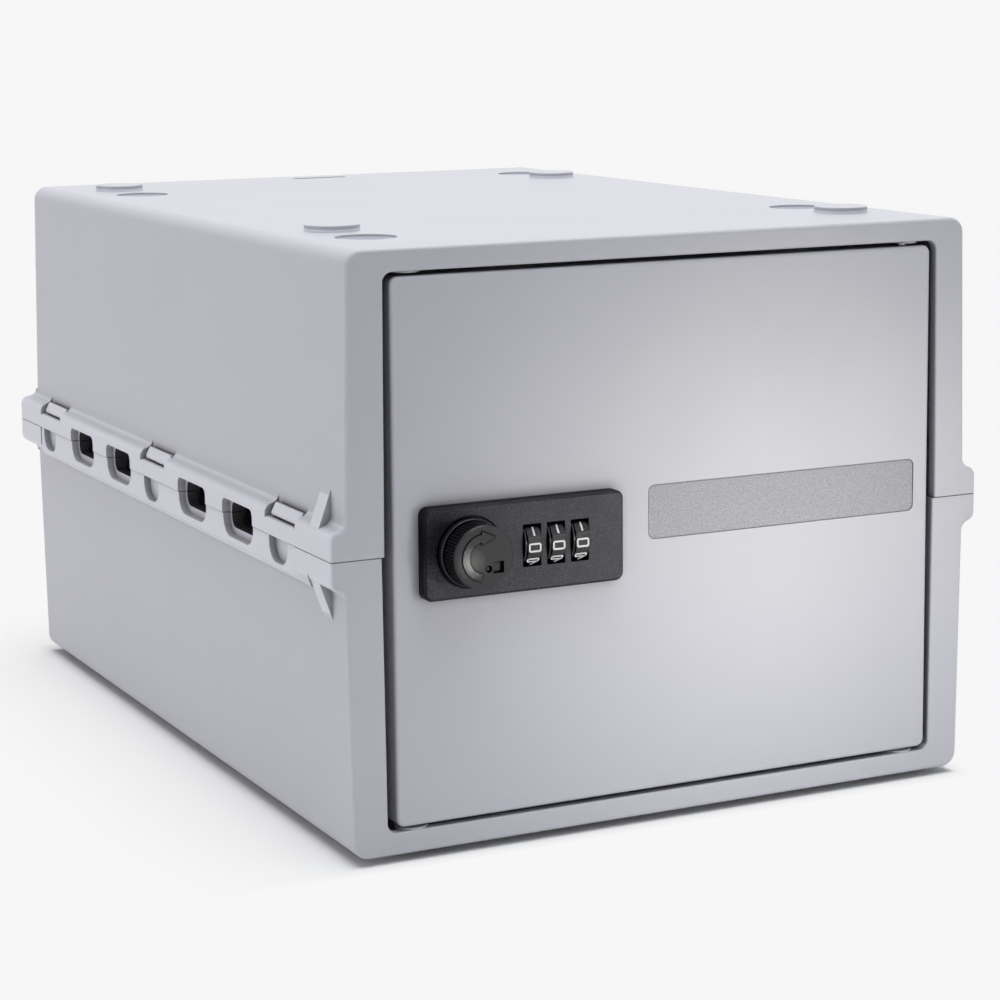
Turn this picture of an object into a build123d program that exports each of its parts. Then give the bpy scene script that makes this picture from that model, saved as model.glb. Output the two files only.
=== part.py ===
from build123d import *
from math import cos, pi, radians, sin, sqrt
import os

# Lock box: two equal half shells snapped together at mid height, a pivoting door in the front frame,
# and a three-wheel combination cam lock in the door. Millimetres. +X right, +Y back, +Z up.
# The origin is on the ground under the centre of the whole box, knob included.

# ---------------------------------------------------------------- driving dimensions
# Case
body_depth = 281.0           # front face to back wall
body_height = 166.0          # both halves together, without the stacking pads
side_draft = 1.45            # lean of each side wall, from the seam to the top or bottom
wall = 3.0                   # side, top and back walls
front_wall = 3.0             # front frame
long_edge_radius = 4.5       # the edges that run front to back
front_edge_radius = 1.2      # round the front face
back_edge_radius = 2.0
seam_gap = 0.2               # dark line between the halves

# Seam rail round the sides and the back
rail_proud = 4.2
rail_flat = 5.5              # height of its flat part, each side of the seam
rail_reach = 11.0            # height at which its shoulder meets the wall
square_rail_reach = 9.7      # the squarer shoulder of the side that carries the tongues
square_rail_set_back = 0.3   # of its face, from the face of the soft rail
square_rail_bead = 1.75      # height of the bead along its edge
square_rail_step = 0.4       # depth of the bead's upper step
square_rail_step_height = 0.55
square_rail_edge = 0.7       # chamfer under the bead
front_block = 26.0           # length of the plain face at the front end of the square rail
front_block_height = 7.0
front_block_corner = 2.5
back_block = 18.5            # length of the soft rail at the back

# Clips: pockets in one side of each half, tongues on the other
clip_pitch = 107.0
clip_shift = -2.2            # of the row of clips, from the middle of the body and the back rail
pocket_length = 22.4
pocket_shift = 1.0           # the pocket shows more gap behind the tongue than before it
pocket_sill = 4.9            # height of the lip that the tongue hooks over
pocket_over_rail = 3.0       # how far the pocket runs past the rail's shoulder
lip_thickness = 2.1
lip_radius = 0.8
tongue_length = 20.0
tongue_thickness = 1.7
tongue_reach = 9.0
tongue_tip_radius = 0.35
tongue_taper = 0.3           # of the tongue's outer face, at its tip
tongue_bevel = 0.4           # slopes above the barb and inside the tip
barb_depth = 1.1
barb_foot = 1.2              # height of the barb with its slope
clip_clearance = 0.25
groove_length = 13.8
groove_height = 7.2
groove_corner = 5.2
groove_shift = 3.0
locating_rib = 30.0          # ribs inside the wall, behind the tongues, that line up the halves
locating_rib_thickness = 1.8
locating_rib_reach = 3.0

# Side windows across the seam
window_length = 24.0
window_places = (-72.8, -34.5, 34.7, 72.8)   # along the depth, from the middle of the row of clips
window_low = 4.7             # height in the half with pockets on that side
window_high = 6.2            # height in the half with tongues on that side
window_small_radius = 2.2
window_large_radius = 5.5
window_pocket = 2.5          # depth of the window's pocket in the rail
window_ledge = 1.4           # each end of the hole in the pocket's floor
window_hole_height = 4.0     # of the hole, each side of the seam
window_hole_radius = 3.2
window_relief = 1.3          # depth of the relief inside the wall, round the hole
window_relief_margin = 2.0

# Fins beside the frame
fin_thickness = 6.4
fin_centre = 13.2            # behind the front face
fin_reach = 18.0             # above the seam
fin_root = 5.8
fin_set_back = 0.15          # of its outer edge, from the rail's face

# Stacking pads and recesses
pad_radius = 8.0
pad_height = 2.0
pad_edge = 0.4
recess_clearance = 0.75
recess_extra_depth = 0.1
recess_boss_radius = 10.6
recess_boss_height = 1.4
stack_x = 78.0
stack_near = 82.5
stack_far = 106.5
finger_slot_length = 21.0    # shallow slot near the back edge
finger_slot_width = 5.0
finger_slot_depth = 0.8
finger_slot_inset = 13.0
finger_slot_x = 5.5
finger_slot_end_radius = 2.4

# Front opening; the halves' left and right edges differ by a step, seen at the seam
frame_side = 11.05           # frame beside the opening, at the seam
frame_top = 6.4              # frame above the opening
opening_draft = 0.6          # how much each edge closes in towards the top or bottom
opening_corner = 2.8
opening_edge_radius = 0.5

# Door
door_width = 173.1
door_shift = 0.4             # of its centre, to the right
door_side_gap = 2.55         # between the door and the opening, on average
door_gap = 1.2               # at top and bottom
door_depth = 12.0
door_skin = 3.0
door_rim = 2.5
door_corner = 2.5
door_edge_radius = 1.1
door_hollow_corner = 1.0
rib_thickness = 2.0
rib_depth = 7.0
rib_pitch = 42.0
rib_from_lock = 6.0
label_length = 89.6          # plain sunk panel to the right of the lock
label_height = 15.5
label_depth = 0.35
label_right = 5.2            # from the door's right edge
label_lift = 4.7             # of its centre above the seam
label_corner = 2.0

# Pivot hinge
hinge_from_side = 6.95       # of the axis, from the door's right edge
hinge_inset = 5.0            # of the axis behind the front face
pin_radius = 1.5
pin_chamfer = 0.3
pin_end_gap = 0.3            # between the pin's end and the bottom of its bore
pin_in_door = 14.0
pin_in_shell = 4.7
running_clearance = 0.05
seat_clearance = 0.01
boss_radius = 4.6
boss_gap = 0.7               # between the shell's boss and the door
knuckle_half_width = 4.2
knuckle_floor = 3.0          # under the pin's bore

# Door stops and strike
stop_gap = 0.4
stop_thickness = 3.0
stop_width = 14.0
stop_x = 45.0
stop_reach = 4.0
strike_reach = 6.9           # from the side wall
strike_height = 14.0

# Lock face plate
plate_width = 61.0
plate_height = 25.5
plate_proud = 4.0
plate_corner = 2.4
plate_chamfer = 0.7
plate_left = 7.3             # from the door's left edge

# Code wheels
wheel_count = 3
wheel_pitch = 7.4
wheel_width = 5.0
wheel_apothem = 7.2          # axis to the middle of each of the ten facets
wheel_show = 1.0             # how far a facet stands out of the plate
wheel_facets = 10
wheel_facet_round = 0.35
wheel_rim_width = 0.5
wheel_rim_radius = 7.3
wheel_groove_width = 0.4
wheel_groove_radius = 6.3
wheels_from_right = 21.3     # middle wheel from the plate's right edge
wheel_window_width = 5.6
wheel_window_height = 11.8
wheel_room = 0.55            # round the wheel's corners, inside the plate

# Code sleeves inside the wheels, and their axle
sleeve_radius = 4.0
axle_radius = 2.0
flange_radius = 5.2
flange_thickness = 0.6
flange_room = 0.4            # round the flanges, inside the plate
notch_half_width = 1.25
axle_shoulder = 1.2          # past each partition, at both ends
axle_chamfer = 0.3

# Locking fence and the eccentric that drives it
fence_thickness = 0.8
fence_half_height = 3.0
tooth_thickness = 0.6
tooth_half_height = 1.0
tooth_tip = 4.2              # from the wheels' axis
fence_side_clearance = 0.15
fence_behind_wheels = 0.33
eccentric_radius = 5.0
eccentric_overlap = 0.25     # of the eccentric past the fence, each side
yoke_clearance = 0.08
yoke_wall = 1.7
yoke_window_half_height = 6.4
yoke_corner = 2.0
yoke_window_corner = 0.8
fence_corner = 0.25

# Lock housing
housing_left = 2.0           # in from the plate's edge
housing_right = 5.1
housing_half_height = 10.5
housing_wall = 1.5
housing_fit = 0.2            # round the housing, in the door
hook_reach = 1.5
hook_thickness = 2.0
hook_half_height = 5.0
hook_gap = 0.1
partition_thickness = 1.5
post_radius = 2.2
post_inset = 0.9             # of the screw posts, into the long walls
post_overlap = 0.4           # of the first pair of posts, into the left partition
post_from_end = 2.6          # second pair, from the housing's right end
housing_corner = 1.0
housing_behind_fence = 0.6
partition_short = 0.2        # of the partitions, before the fence
cover_thickness = 1.8
cover_screw_radius = 0.95
cover_screw_depth = 6.0
cover_screw_head_radius = 1.9
cover_screw_head = 1.2
fixing_screw_radius = 1.25
fixing_screw_head_radius = 2.3
fixing_screw_head = 1.6
fixing_screw_bite = 3.0      # into the plate
fixing_screw_z = 7.5
fixing_screw_inset = 2.5     # from the plate's right edge
screw_tip_gap = 0.3          # between a screw's tip and the bottom of its bore
screw_slot_width = 0.5
screw_slot_depth = 0.5

# Detent spring under the wheels
spring_thickness = 0.3
spring_finger_width = 3.4
spring_clear = 0.3           # below the wheels' corners
spring_end_gap = 0.1
spring_foot = 1.6
spring_foot_behind = 5.3     # behind the wheels' axis

# Knob and spindle
knob_from_left = 13.5        # axis from the plate's left edge
knob_proud = 9.0             # its face in front of the plate, arrow included
knob_ring_radius = 10.0      # sunk ring in the plate round the knob
knob_ring_depth = 0.8
knob_ring_gap = 0.3
knob_collar_radius = 9.4
knob_collar = 2.4
knob_collar_edge = 0.4
knob_grip_radius = 8.9
knurl_depth = 0.35
knurl_count = 60
knob_face_radius = 8.75
knob_face_thickness = 0.9
knob_face_chamfer = 0.3
arrow_height = 0.3
arrow_inner = 4.4
arrow_outer = 6.4
arrow_end = -0.65
arrow_head_half = 1.9
arrow_tip = 3.4
key_recess_side = 3.2
key_recess_place = (4.3, -3.0)
key_recess_depth = 1.2
key_pit_radius = 1.0
key_pit_place = (1.4, -3.3)
key_pit_depth = 0.7
journal_radius = 4.95
spindle_nose_radius = 3.0
spindle_nose = 6.0
rear_journal_radius = 4.0
clip_groove_radius = 3.4
clip_ring_radius = 6.2
clip_ring_thickness = 0.7
clip_ring_mouth = 3.0
spindle_square = 6.0
thread_radius = 2.5
thread_spare = 0.8

# Cam
cam_thickness = 2.5
cam_gap = 0.25               # behind the strike
cam_hub_radius = 7.5
cam_reach = 29.0
cam_width = 11.0
cam_corner = 1.5
washer_radius = 5.5
washer_thickness = 0.8
nut_across_flats = 8.0
nut_height = 3.0

# Overlap of joined pieces of one moulding, and how far cuts run past a face
merge = 1.0
touch = 0.1

# ---------------------------------------------------------------- derived places
overall_depth = body_depth + rail_proud + plate_proud + knob_proud
front_y = -overall_depth / 2 + plate_proud + knob_proud
back_y = front_y + body_depth
body_middle_y = (front_y + back_y) / 2
opening_half = door_width / 2 + door_side_gap
opening_narrow = opening_half - door_shift      # from the centre line, at the seam
opening_wide = opening_half + door_shift
half_width = opening_half + frame_side
bottom_z = pad_height
top_z = bottom_z + body_height
seam_z = (bottom_z + top_z) / 2
half_height = body_height / 2
lean = side_draft / half_height          # of the side walls, per millimetre of height

clip_middle_y = body_middle_y + rail_proud + clip_shift
clip_places = [clip_middle_y + i * clip_pitch for i in (-1, 0, 1)]
window_ys = [clip_middle_y + place for place in window_places]

opening_top = top_z - frame_top
door_top = opening_top - door_gap
door_bottom = 2 * seam_z - door_top
door_left = door_shift - door_width / 2
door_right = door_shift + door_width / 2
door_back_y = front_y + door_depth
skin_back_y = front_y + door_skin
hinge_x = door_right - hinge_from_side
hinge_y = front_y + hinge_inset

plate_x0 = door_left + plate_left
plate_x1 = plate_x0 + plate_width
plate_front_y = front_y - plate_proud
knob_x = plate_x0 + knob_from_left
middle_wheel_x = plate_x1 - wheels_from_right
wheel_xs = [middle_wheel_x + (i - (wheel_count - 1) / 2) * wheel_pitch for i in range(wheel_count)]
wheel_axis_y = plate_front_y + wheel_apothem - wheel_show
wheel_corner = wheel_apothem / cos(pi / wheel_facets)

# Between two wheels: tooth, flange and tooth again, each with the same side clearance
wheel_space = wheel_pitch - wheel_width
flange_x0 = -wheel_width / 2 - wheel_space / 2 - flange_thickness / 2
tooth_x0 = flange_x0 + flange_thickness + fence_side_clearance
fence_travel = flange_thickness + tooth_thickness + 2 * fence_side_clearance
eccentricity = fence_travel / (2 * sin(radians(45)))
eccentric_offset = eccentricity * sin(radians(45))

fence_y0 = wheel_axis_y + wheel_corner + fence_behind_wheels
fence_y1 = fence_y0 + fence_thickness
housing_x0 = plate_x0 + housing_left
housing_x1 = plate_x1 - housing_right
housing_back_y = fence_y1 + housing_behind_fence
partition_back_y = fence_y0 - partition_short
cover_back_y = housing_back_y + cover_thickness
spindle_clip_y0 = cover_back_y + 2 * running_clearance
spindle_clip_ys = (spindle_clip_y0, spindle_clip_y0 + clip_ring_thickness)
inner_half_height = housing_half_height - housing_wall
post_z = inner_half_height - post_inset
partition_left_x1 = wheel_xs[0] + tooth_x0 - fence_travel - 2 * fence_side_clearance
partition_left_x0 = partition_left_x1 - partition_thickness
partition_right_x0 = wheel_xs[-1] + wheel_width / 2 + fence_side_clearance
axle_ends = (partition_left_x0 - axle_shoulder, partition_right_x0 + partition_thickness + axle_shoulder)
post_xs = [partition_left_x0 - post_radius + post_overlap, housing_x1 - post_from_end]
cover_screw_places = [(x, z) for x in post_xs for z in (seam_z - post_z, seam_z + post_z)]
fixing_screw_x = plate_x1 - fixing_screw_inset
fixing_screw_zs = [seam_z - fixing_screw_z, seam_z + fixing_screw_z]

stop_y0 = door_back_y + stop_gap
strike_back_y = stop_y0 + stop_thickness
fin_y0 = front_y + fin_centre - fin_thickness / 2
fin_y1 = fin_y0 + fin_thickness
square_y0 = fin_y1                       # the square rail runs from the fin to the back's soft rail
square_y1 = back_y - back_block
cam_y0 = strike_back_y + cam_gap
cam_y1 = cam_y0 + cam_thickness
washer_y1 = cam_y1 + washer_thickness
nut_y1 = washer_y1 + nut_height
knob_back_y = plate_front_y + knob_ring_depth - knob_ring_gap
knob_face_y = plate_front_y - knob_proud + arrow_height


# ---------------------------------------------------------------- helpers
def block(x0, x1, y0, y1, z0, z1):
    return Pos((x0 + x1) / 2, (y0 + y1) / 2, (z0 + z1) / 2) * Box(abs(x1 - x0), abs(y1 - y0), abs(z1 - z0))


def rod_x(y, z, radius, x0, x1):
    return Pos((x0 + x1) / 2, y, z) * Rot(0, 90, 0) * Cylinder(radius, x1 - x0)


def rod_y(x, z, radius, y0, y1):
    return Pos(x, (y0 + y1) / 2, z) * Rot(90, 0, 0) * Cylinder(radius, y1 - y0)


def rod_z(x, y, radius, z0, z1):
    return Pos(x, y, (z0 + z1) / 2) * Cylinder(radius, z1 - z0)


def prism_x(sketch, x0, x1):
    """A sketch of (y, z) points, from x0 to x1."""
    return extrude(Plane.YZ.offset(x0) * sketch, amount=x1 - x0, dir=(1, 0, 0))


def prism_y(sketch, y0, y1):
    """A sketch of (x, z) points, from y0 to y1."""
    return extrude(Plane.XZ.offset(-y0) * sketch, amount=y1 - y0, dir=(0, 1, 0))


def prism_z(sketch, z0, z1):
    """A sketch of (x, y) points, from z0 to z1."""
    return extrude(Plane.XY.offset(z0) * sketch, amount=z1 - z0, dir=(0, 0, 1))


def shape_of(*points):
    return Polygon(*points, align=None)


def rounded_rectangle(x0, x1, y0, y1, radius):
    return Pos((x0 + x1) / 2, (y0 + y1) / 2) * RectangleRounded(x1 - x0, y1 - y0, radius)


def mirrored(shape):
    return mirror(shape, about=Plane.YZ)


def upside_down(shape):
    return mirror(shape, about=Plane.XY.offset(seam_z))


def edges_at(shape, axis, place):
    return shape.edges().filter_by_position(axis, place - touch, place + touch)


def s_curve(start, end, start_way, end_way):
    """Two tangent arcs from start to end, leaving along start_way and arriving along end_way."""
    start, end, start_way, end_way = (Vector(*v) for v in (start, end, start_way, end_way))
    chord = end - start
    both = start_way + end_way
    slack = 2 * (1 - start_way.dot(end_way))
    if slack < 1e-9:
        reach = chord.dot(chord) / (2 * chord.dot(both))
    else:
        along = chord.dot(both)
        reach = (sqrt(along ** 2 + slack * chord.dot(chord)) - along) / slack
    leave = start + start_way * reach
    arrive = end - end_way * reach
    meet = (leave + arrive) * 0.5
    return [TangentArc(start, meet, tangent=start_way),
            TangentArc(meet, end, tangent=(arrive - leave).normalized())]


# ---------------------------------------------------------------- half shell
def rail_profile(slope):
    """Soft shoulder: (outwards from the wall, up from the seam). slope is the wall's lean."""
    foot = (rail_proud, rail_flat)
    head = (-slope * rail_reach, rail_reach)
    length = sqrt(1 + slope ** 2)
    edges = [Line((-wall / 2, 0), (rail_proud, 0)), Line((rail_proud, 0), foot)]
    edges += s_curve(foot, head, (0, 1), (-slope / length, 1 / length))
    edges += [Line(head, (-wall / 2, rail_reach)), Line((-wall / 2, rail_reach), (-wall / 2, 0))]
    return make_face(edges)


def square_rail_profile():
    """Squarer shoulder with a bead, on the side that carries the tongues."""
    face = rail_proud - square_rail_set_back
    bead = face - square_rail_step
    bead_foot = square_rail_reach - square_rail_bead
    return shape_of((-wall / 2, 0), (face, 0), (face, bead_foot), (bead, bead_foot + square_rail_step_height),
                    (bead, square_rail_reach - square_rail_edge),
                    (bead - square_rail_edge, square_rail_reach), (-wall / 2, square_rail_reach))


def side_rail(profile, y0, y1):
    return prism_y(Pos(half_width, seam_z) * profile, y0, y1)


def back_rail(half_length):
    return prism_x(Pos(back_y, seam_z) * rail_profile(0), -half_length, half_length)


def front_block_face():
    """Plain face flush with the soft rail, at the front end of the square rail."""
    outline = rounded_rectangle(square_y0 - front_block_corner, front_y + front_block,
                                seam_z - front_block_height, seam_z + front_block_height, front_block_corner)
    face = prism_x(outline, half_width, half_width + rail_proud)
    return face & block(half_width, half_width + rail_proud, square_y0, back_y, seam_z, top_z)


def half_section(inset):
    """Cross-section of the upper half, seen from the front, set in by inset."""
    side = half_width - inset
    top = top_z - inset
    top_side = side - lean * (top - seam_z)
    outline = shape_of((-side, seam_z), (side, seam_z), (top_side, top), (-top_side, top))
    corners = outline.vertices().filter_by_position(Axis.Y, top - touch, top + touch)
    return fillet(corners, long_edge_radius - inset)


def half_body():
    """Outer form of the upper half with its rail, solid."""
    body = prism_y(half_section(0), front_y, back_y)
    back_edges = edges_at(body, Axis.Y, back_y).filter_by_position(Axis.Z, seam_z + touch, top_z + touch)
    body = fillet(back_edges, back_edge_radius)
    soft = rail_profile(lean)
    left = mirrored(side_rail(soft, front_y, back_y + rail_proud))
    right = side_rail(soft, front_y, back_y + rail_proud)
    rear = back_rail(half_width + rail_proud)
    inside = block(-half_width - rail_proud, half_width + rail_proud, front_y, back_y, seam_z, top_z)
    between = block(-half_width, half_width, back_y - wall, back_y + rail_proud, seam_z, top_z)
    rails = (left & inside) + (right & inside) + (rear & between) + (left & rear) + (right & rear)
    body = body + rails
    front_edges = edges_at(body, Axis.Y, front_y).filter_by_position(Axis.Z, seam_z + touch, top_z + touch)
    body = fillet(front_edges, front_edge_radius)
    outside = block(half_width, half_width + 2 * rail_proud, square_y0, square_y1,
                    seam_z - merge, seam_z + rail_reach + merge)
    return body - outside + side_rail(square_rail_profile(), square_y0, square_y1) + front_block_face()


def window_cuts(height, radius):
    """Half windows above the seam, on the right: a pocket in the rail, a smaller hole, a relief inside."""
    cuts = []
    pocket_x = half_width + rail_proud - window_pocket
    relief_x = half_width - wall + window_relief
    half = window_length / 2
    hole_half = half - window_ledge
    relief_half = hole_half + window_relief_margin
    relief_height = window_hole_height + window_relief_margin
    for y in window_ys:
        pocket = rounded_rectangle(y - half, y + half, seam_z - 2 * radius, seam_z + height, radius)
        hole = rounded_rectangle(y - hole_half, y + hole_half, seam_z - window_hole_height,
                                 seam_z + window_hole_height, window_hole_radius)
        relief = rounded_rectangle(y - relief_half, y + relief_half, seam_z - relief_height,
                                   seam_z + relief_height, window_hole_radius)
        cuts.append(prism_x(pocket, pocket_x, half_width + 2 * rail_proud))
        cuts.append(prism_x(hole, half_width - 2 * wall, half_width + rail_proud))
        cuts.append(prism_x(relief, half_width - 2 * wall, relief_x))
    return cuts


def pocket_cuts():
    """Pockets for the other half's tongues, on the left side."""
    cuts = []
    lip_x = -(half_width + rail_proud - lip_thickness)
    wall_x = -(half_width - lean * rail_reach)
    for y in clip_places:
        y0 = y + pocket_shift - pocket_length / 2
        y1 = y0 + pocket_length
        cuts.append(block(-half_width - 2 * rail_proud, wall_x, y0, y1,
                          seam_z + pocket_sill, seam_z + rail_reach + pocket_over_rail))
        half = tongue_length / 2 + clip_clearance
        cuts.append(block(lip_x, -half_width - touch / 2, y - half, y + half,
                          seam_z - merge, seam_z + pocket_sill + merge))
    return cuts


def tongue_profile():
    """(x, z) outline of a tongue that hangs below the seam on the right side, with its barb outwards."""
    outer = half_width + rail_proud - lip_thickness - clip_clearance
    inner = outer - tongue_thickness
    sill = seam_z - pocket_sill - clip_clearance
    tip = seam_z - tongue_reach
    return shape_of((inner, seam_z + merge), (outer, seam_z + merge), (outer, sill),
                    (outer + barb_depth, sill - tongue_bevel), (outer + barb_depth, sill - barb_foot),
                    (outer - tongue_taper, tip), (inner, tip + tongue_bevel))


def clip_tongues():
    outline = tongue_profile()
    tip_corners = outline.vertices().filter_by_position(
        Axis.Y, seam_z - tongue_reach - touch, seam_z - pocket_sill - 2 * clip_clearance)
    outline = fillet(tip_corners, tongue_tip_radius)
    half = tongue_length / 2
    tongues = [prism_y(outline, y - half, y + half) for y in clip_places]
    rib_x1 = half_width - wall
    rib_x0 = rib_x1 - locating_rib_thickness
    for y in clip_places:
        half = locating_rib / 2
        tongues.append(block(rib_x0, rib_x1 - clip_clearance, y - half, y + half,
                             seam_z - locating_rib_reach, seam_z + 2 * locating_rib_reach))
        tongues.append(block(rib_x0, rib_x1 + wall / 2, y - half, y + half,
                             seam_z + merge, seam_z + 2 * locating_rib_reach))
    return tongues


def groove_cuts():
    """Grooves up the rail over the tongues' roots, on the right side, round at the top."""
    floor_x = half_width + rail_proud - lip_thickness - clip_clearance
    cuts = []
    for y in clip_places:
        centre = y + groove_shift
        half = groove_length / 2
        outline = rounded_rectangle(centre - half, centre + half,
                                    seam_z - groove_height, seam_z + groove_height, groove_corner)
        cuts.append(prism_x(outline, floor_x, half_width + 2 * rail_proud))
    return cuts


def fins():
    """A gusset on each side between the rail's shoulder and the side wall, close to the frame."""
    inner = half_width - wall / 2
    outer = half_width + rail_proud - fin_set_back
    outline = shape_of((inner, seam_z + merge), (outer, seam_z + merge), (outer, seam_z + fin_root),
                       (half_width - lean * fin_reach, seam_z + fin_reach), (inner, seam_z + fin_reach))
    fin = prism_y(outline, fin_y0, fin_y1)
    return [fin, mirrored(fin)]


def stacking_marks():
    """(pads, recesses) on the top: (x, y) from the middle of the body."""
    pads = [(-stack_x, -stack_near), (-stack_x, stack_far), (stack_x, -stack_far), (stack_x, stack_near)]
    recesses = [(-stack_x, -stack_far), (-stack_x, stack_near), (stack_x, -stack_near), (stack_x, stack_far)]
    return pads, recesses


def hinge_bosses():
    """Bored bosses for the door's pins, both sides, because each half serves as the other's mirror."""
    z0 = door_top + boss_gap
    boss = rod_z(hinge_x, hinge_y, boss_radius, z0, top_z - wall / 2)
    bore_top = z0 + pin_in_shell + pin_end_gap
    bore = rod_z(hinge_x, hinge_y, pin_radius + running_clearance, z0 - merge, bore_top)
    return [boss, mirrored(boss)], [bore, mirrored(bore)]


def stops_and_strikes():
    """Tabs that the door closes against, and the ribs that the cam turns behind."""
    pieces = []
    for x in (-stop_x, stop_x):
        pieces.append(block(x - stop_width / 2, x + stop_width / 2, stop_y0, strike_back_y,
                            door_top - stop_reach, top_z - wall / 2))
    strike = block(half_width - wall - strike_reach, half_width - wall / 2, stop_y0, strike_back_y,
                   seam_z, seam_z + strike_height)
    return pieces + [strike, mirrored(strike)]


def opening_profile():
    """Upper half of the door's opening, seen from the front."""
    narrow_top = opening_narrow - opening_draft
    wide_top = opening_wide - opening_draft
    outline = shape_of((-opening_narrow, seam_z), (opening_wide, seam_z),
                       (wide_top, opening_top), (-narrow_top, opening_top))
    corners = outline.vertices().filter_by_position(Axis.Y, opening_top - touch, opening_top + touch)
    return fillet(corners, opening_corner)


def open_front(half):
    """The opening in the front, with a small radius round its edge."""
    half -= prism_y(opening_profile(), front_y - merge, front_y + front_wall + merge)
    rim = edges_at(half, Axis.Y, front_y)
    rim = rim.filter_by_position(Axis.X, -opening_wide - touch, opening_wide + touch)
    rim = rim.filter_by_position(Axis.Z, seam_z + touch, opening_top + touch)
    return fillet(rim, opening_edge_radius)


def upper_half():
    half = open_front(half_body())
    half -= prism_y(half_section(wall), front_y + front_wall, back_y - wall)
    half += fins()
    bosses, bores = hinge_bosses()
    half += bosses
    half += stops_and_strikes()

    pads, recesses = stacking_marks()
    recess_radius = pad_radius + recess_clearance
    recess_depth = pad_height + recess_extra_depth
    for x, y in recesses:
        half += rod_z(x, body_middle_y + y, recess_boss_radius,
                      top_z - wall - recess_boss_height, top_z - wall / 2)
    for x, y in recesses:
        half -= rod_z(x, body_middle_y + y, recess_radius, top_z - recess_depth, top_z + merge)
    for x, y in pads:
        pad = rod_z(x, body_middle_y + y, pad_radius, top_z - wall / 2, top_z + pad_height)
        half += fillet(pad.edges().group_by(Axis.Z)[-1], pad_edge)
    slot_y = back_y - finger_slot_inset
    slot = rounded_rectangle(finger_slot_x - finger_slot_length / 2, finger_slot_x + finger_slot_length / 2,
                             slot_y - finger_slot_width / 2, slot_y + finger_slot_width / 2,
                             finger_slot_end_radius)
    half -= prism_z(slot, top_z - finger_slot_depth, top_z + merge)

    half -= bores
    half -= [mirrored(cut) for cut in window_cuts(window_low, window_small_radius)]
    half -= window_cuts(window_high, window_large_radius)
    half -= pocket_cuts()
    half -= groove_cuts()
    lip_top = seam_z + pocket_sill
    lip_x = -half_width - rail_proud
    lips = edges_at(half, Axis.Z, lip_top).filter_by(Axis.Y)
    half = fillet(lips.filter_by_position(Axis.X, lip_x - touch, lip_x + touch), lip_radius)
    half -= block(-2 * half_width, 2 * half_width, front_y - merge, back_y + 2 * rail_proud,
                  bottom_z, seam_z + seam_gap / 2)
    half += clip_tongues()
    return half


def turned_over(shape):
    """The same moulding as the other half: half a turn about the line through the seam, front to back."""
    return shape.rotate(Axis((0, 0, seam_z), (0, 1, 0)), 180)


# ---------------------------------------------------------------- door
def hinge_knuckle():
    return block(hinge_x - knuckle_half_width, door_right - door_rim / 2,
                 front_y + door_skin / 2, door_back_y,
                 door_top - pin_in_door - knuckle_floor, door_top - door_rim / 2)


def door_ribs():
    """Stiffening ribs behind the skin, clear of the lock."""
    y0 = skin_back_y - merge
    y1 = skin_back_y + rib_depth
    half = rib_thickness / 2
    left, right = door_left + merge, door_right - merge
    first_x = plate_x1 + rib_from_lock
    ribs = [block(first_x, right, y0, y1, seam_z - half, seam_z + half)]
    for z in (seam_z - rib_pitch, seam_z + rib_pitch):
        ribs.append(block(left, right, y0, y1, z - half, z + half))
    for x in (first_x + half, first_x + rib_pitch):
        ribs.append(block(x - half, x + half, y0, y1, door_bottom + merge, door_top - merge))
    return ribs


def door_panel():
    outline = rounded_rectangle(door_left, door_right, door_bottom, door_top, door_corner)
    door = prism_y(outline, front_y, door_back_y)
    door = fillet(edges_at(door, Axis.Y, front_y), door_edge_radius)
    hollow = rounded_rectangle(door_left + door_rim, door_right - door_rim,
                               door_bottom + door_rim, door_top - door_rim, door_hollow_corner)
    door -= prism_y(hollow, skin_back_y, door_back_y + merge)
    door += door_ribs()
    upper_knuckle = hinge_knuckle()
    pin_bore = rod_z(hinge_x, hinge_y, pin_radius + seat_clearance, door_top - pin_in_door, door_top + merge)
    door += [upper_knuckle, upside_down(upper_knuckle)]
    door -= [pin_bore, upside_down(pin_bore)]
    lock_half_height = housing_half_height + housing_fit
    door -= block(housing_x0 - housing_fit, housing_x1 + housing_fit, front_y - merge, door_back_y + merge,
                  seam_z - lock_half_height, seam_z + lock_half_height)
    for z in fixing_screw_zs:
        door -= rod_y(fixing_screw_x, z, fixing_screw_radius + running_clearance,
                      front_y - merge, skin_back_y + merge)
    label_x1 = door_right - label_right
    label_z = seam_z + label_lift
    label = rounded_rectangle(label_x1 - label_length, label_x1, label_z - label_height / 2,
                              label_z + label_height / 2, label_corner)
    return door - prism_y(label, front_y - merge, front_y + label_depth)


def hinge_pin():
    pin = rod_z(hinge_x, hinge_y, pin_radius, door_top - pin_in_door, door_top + boss_gap + pin_in_shell)
    return chamfer(pin.edges().filter_by(GeomType.CIRCLE), pin_chamfer)


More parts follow.
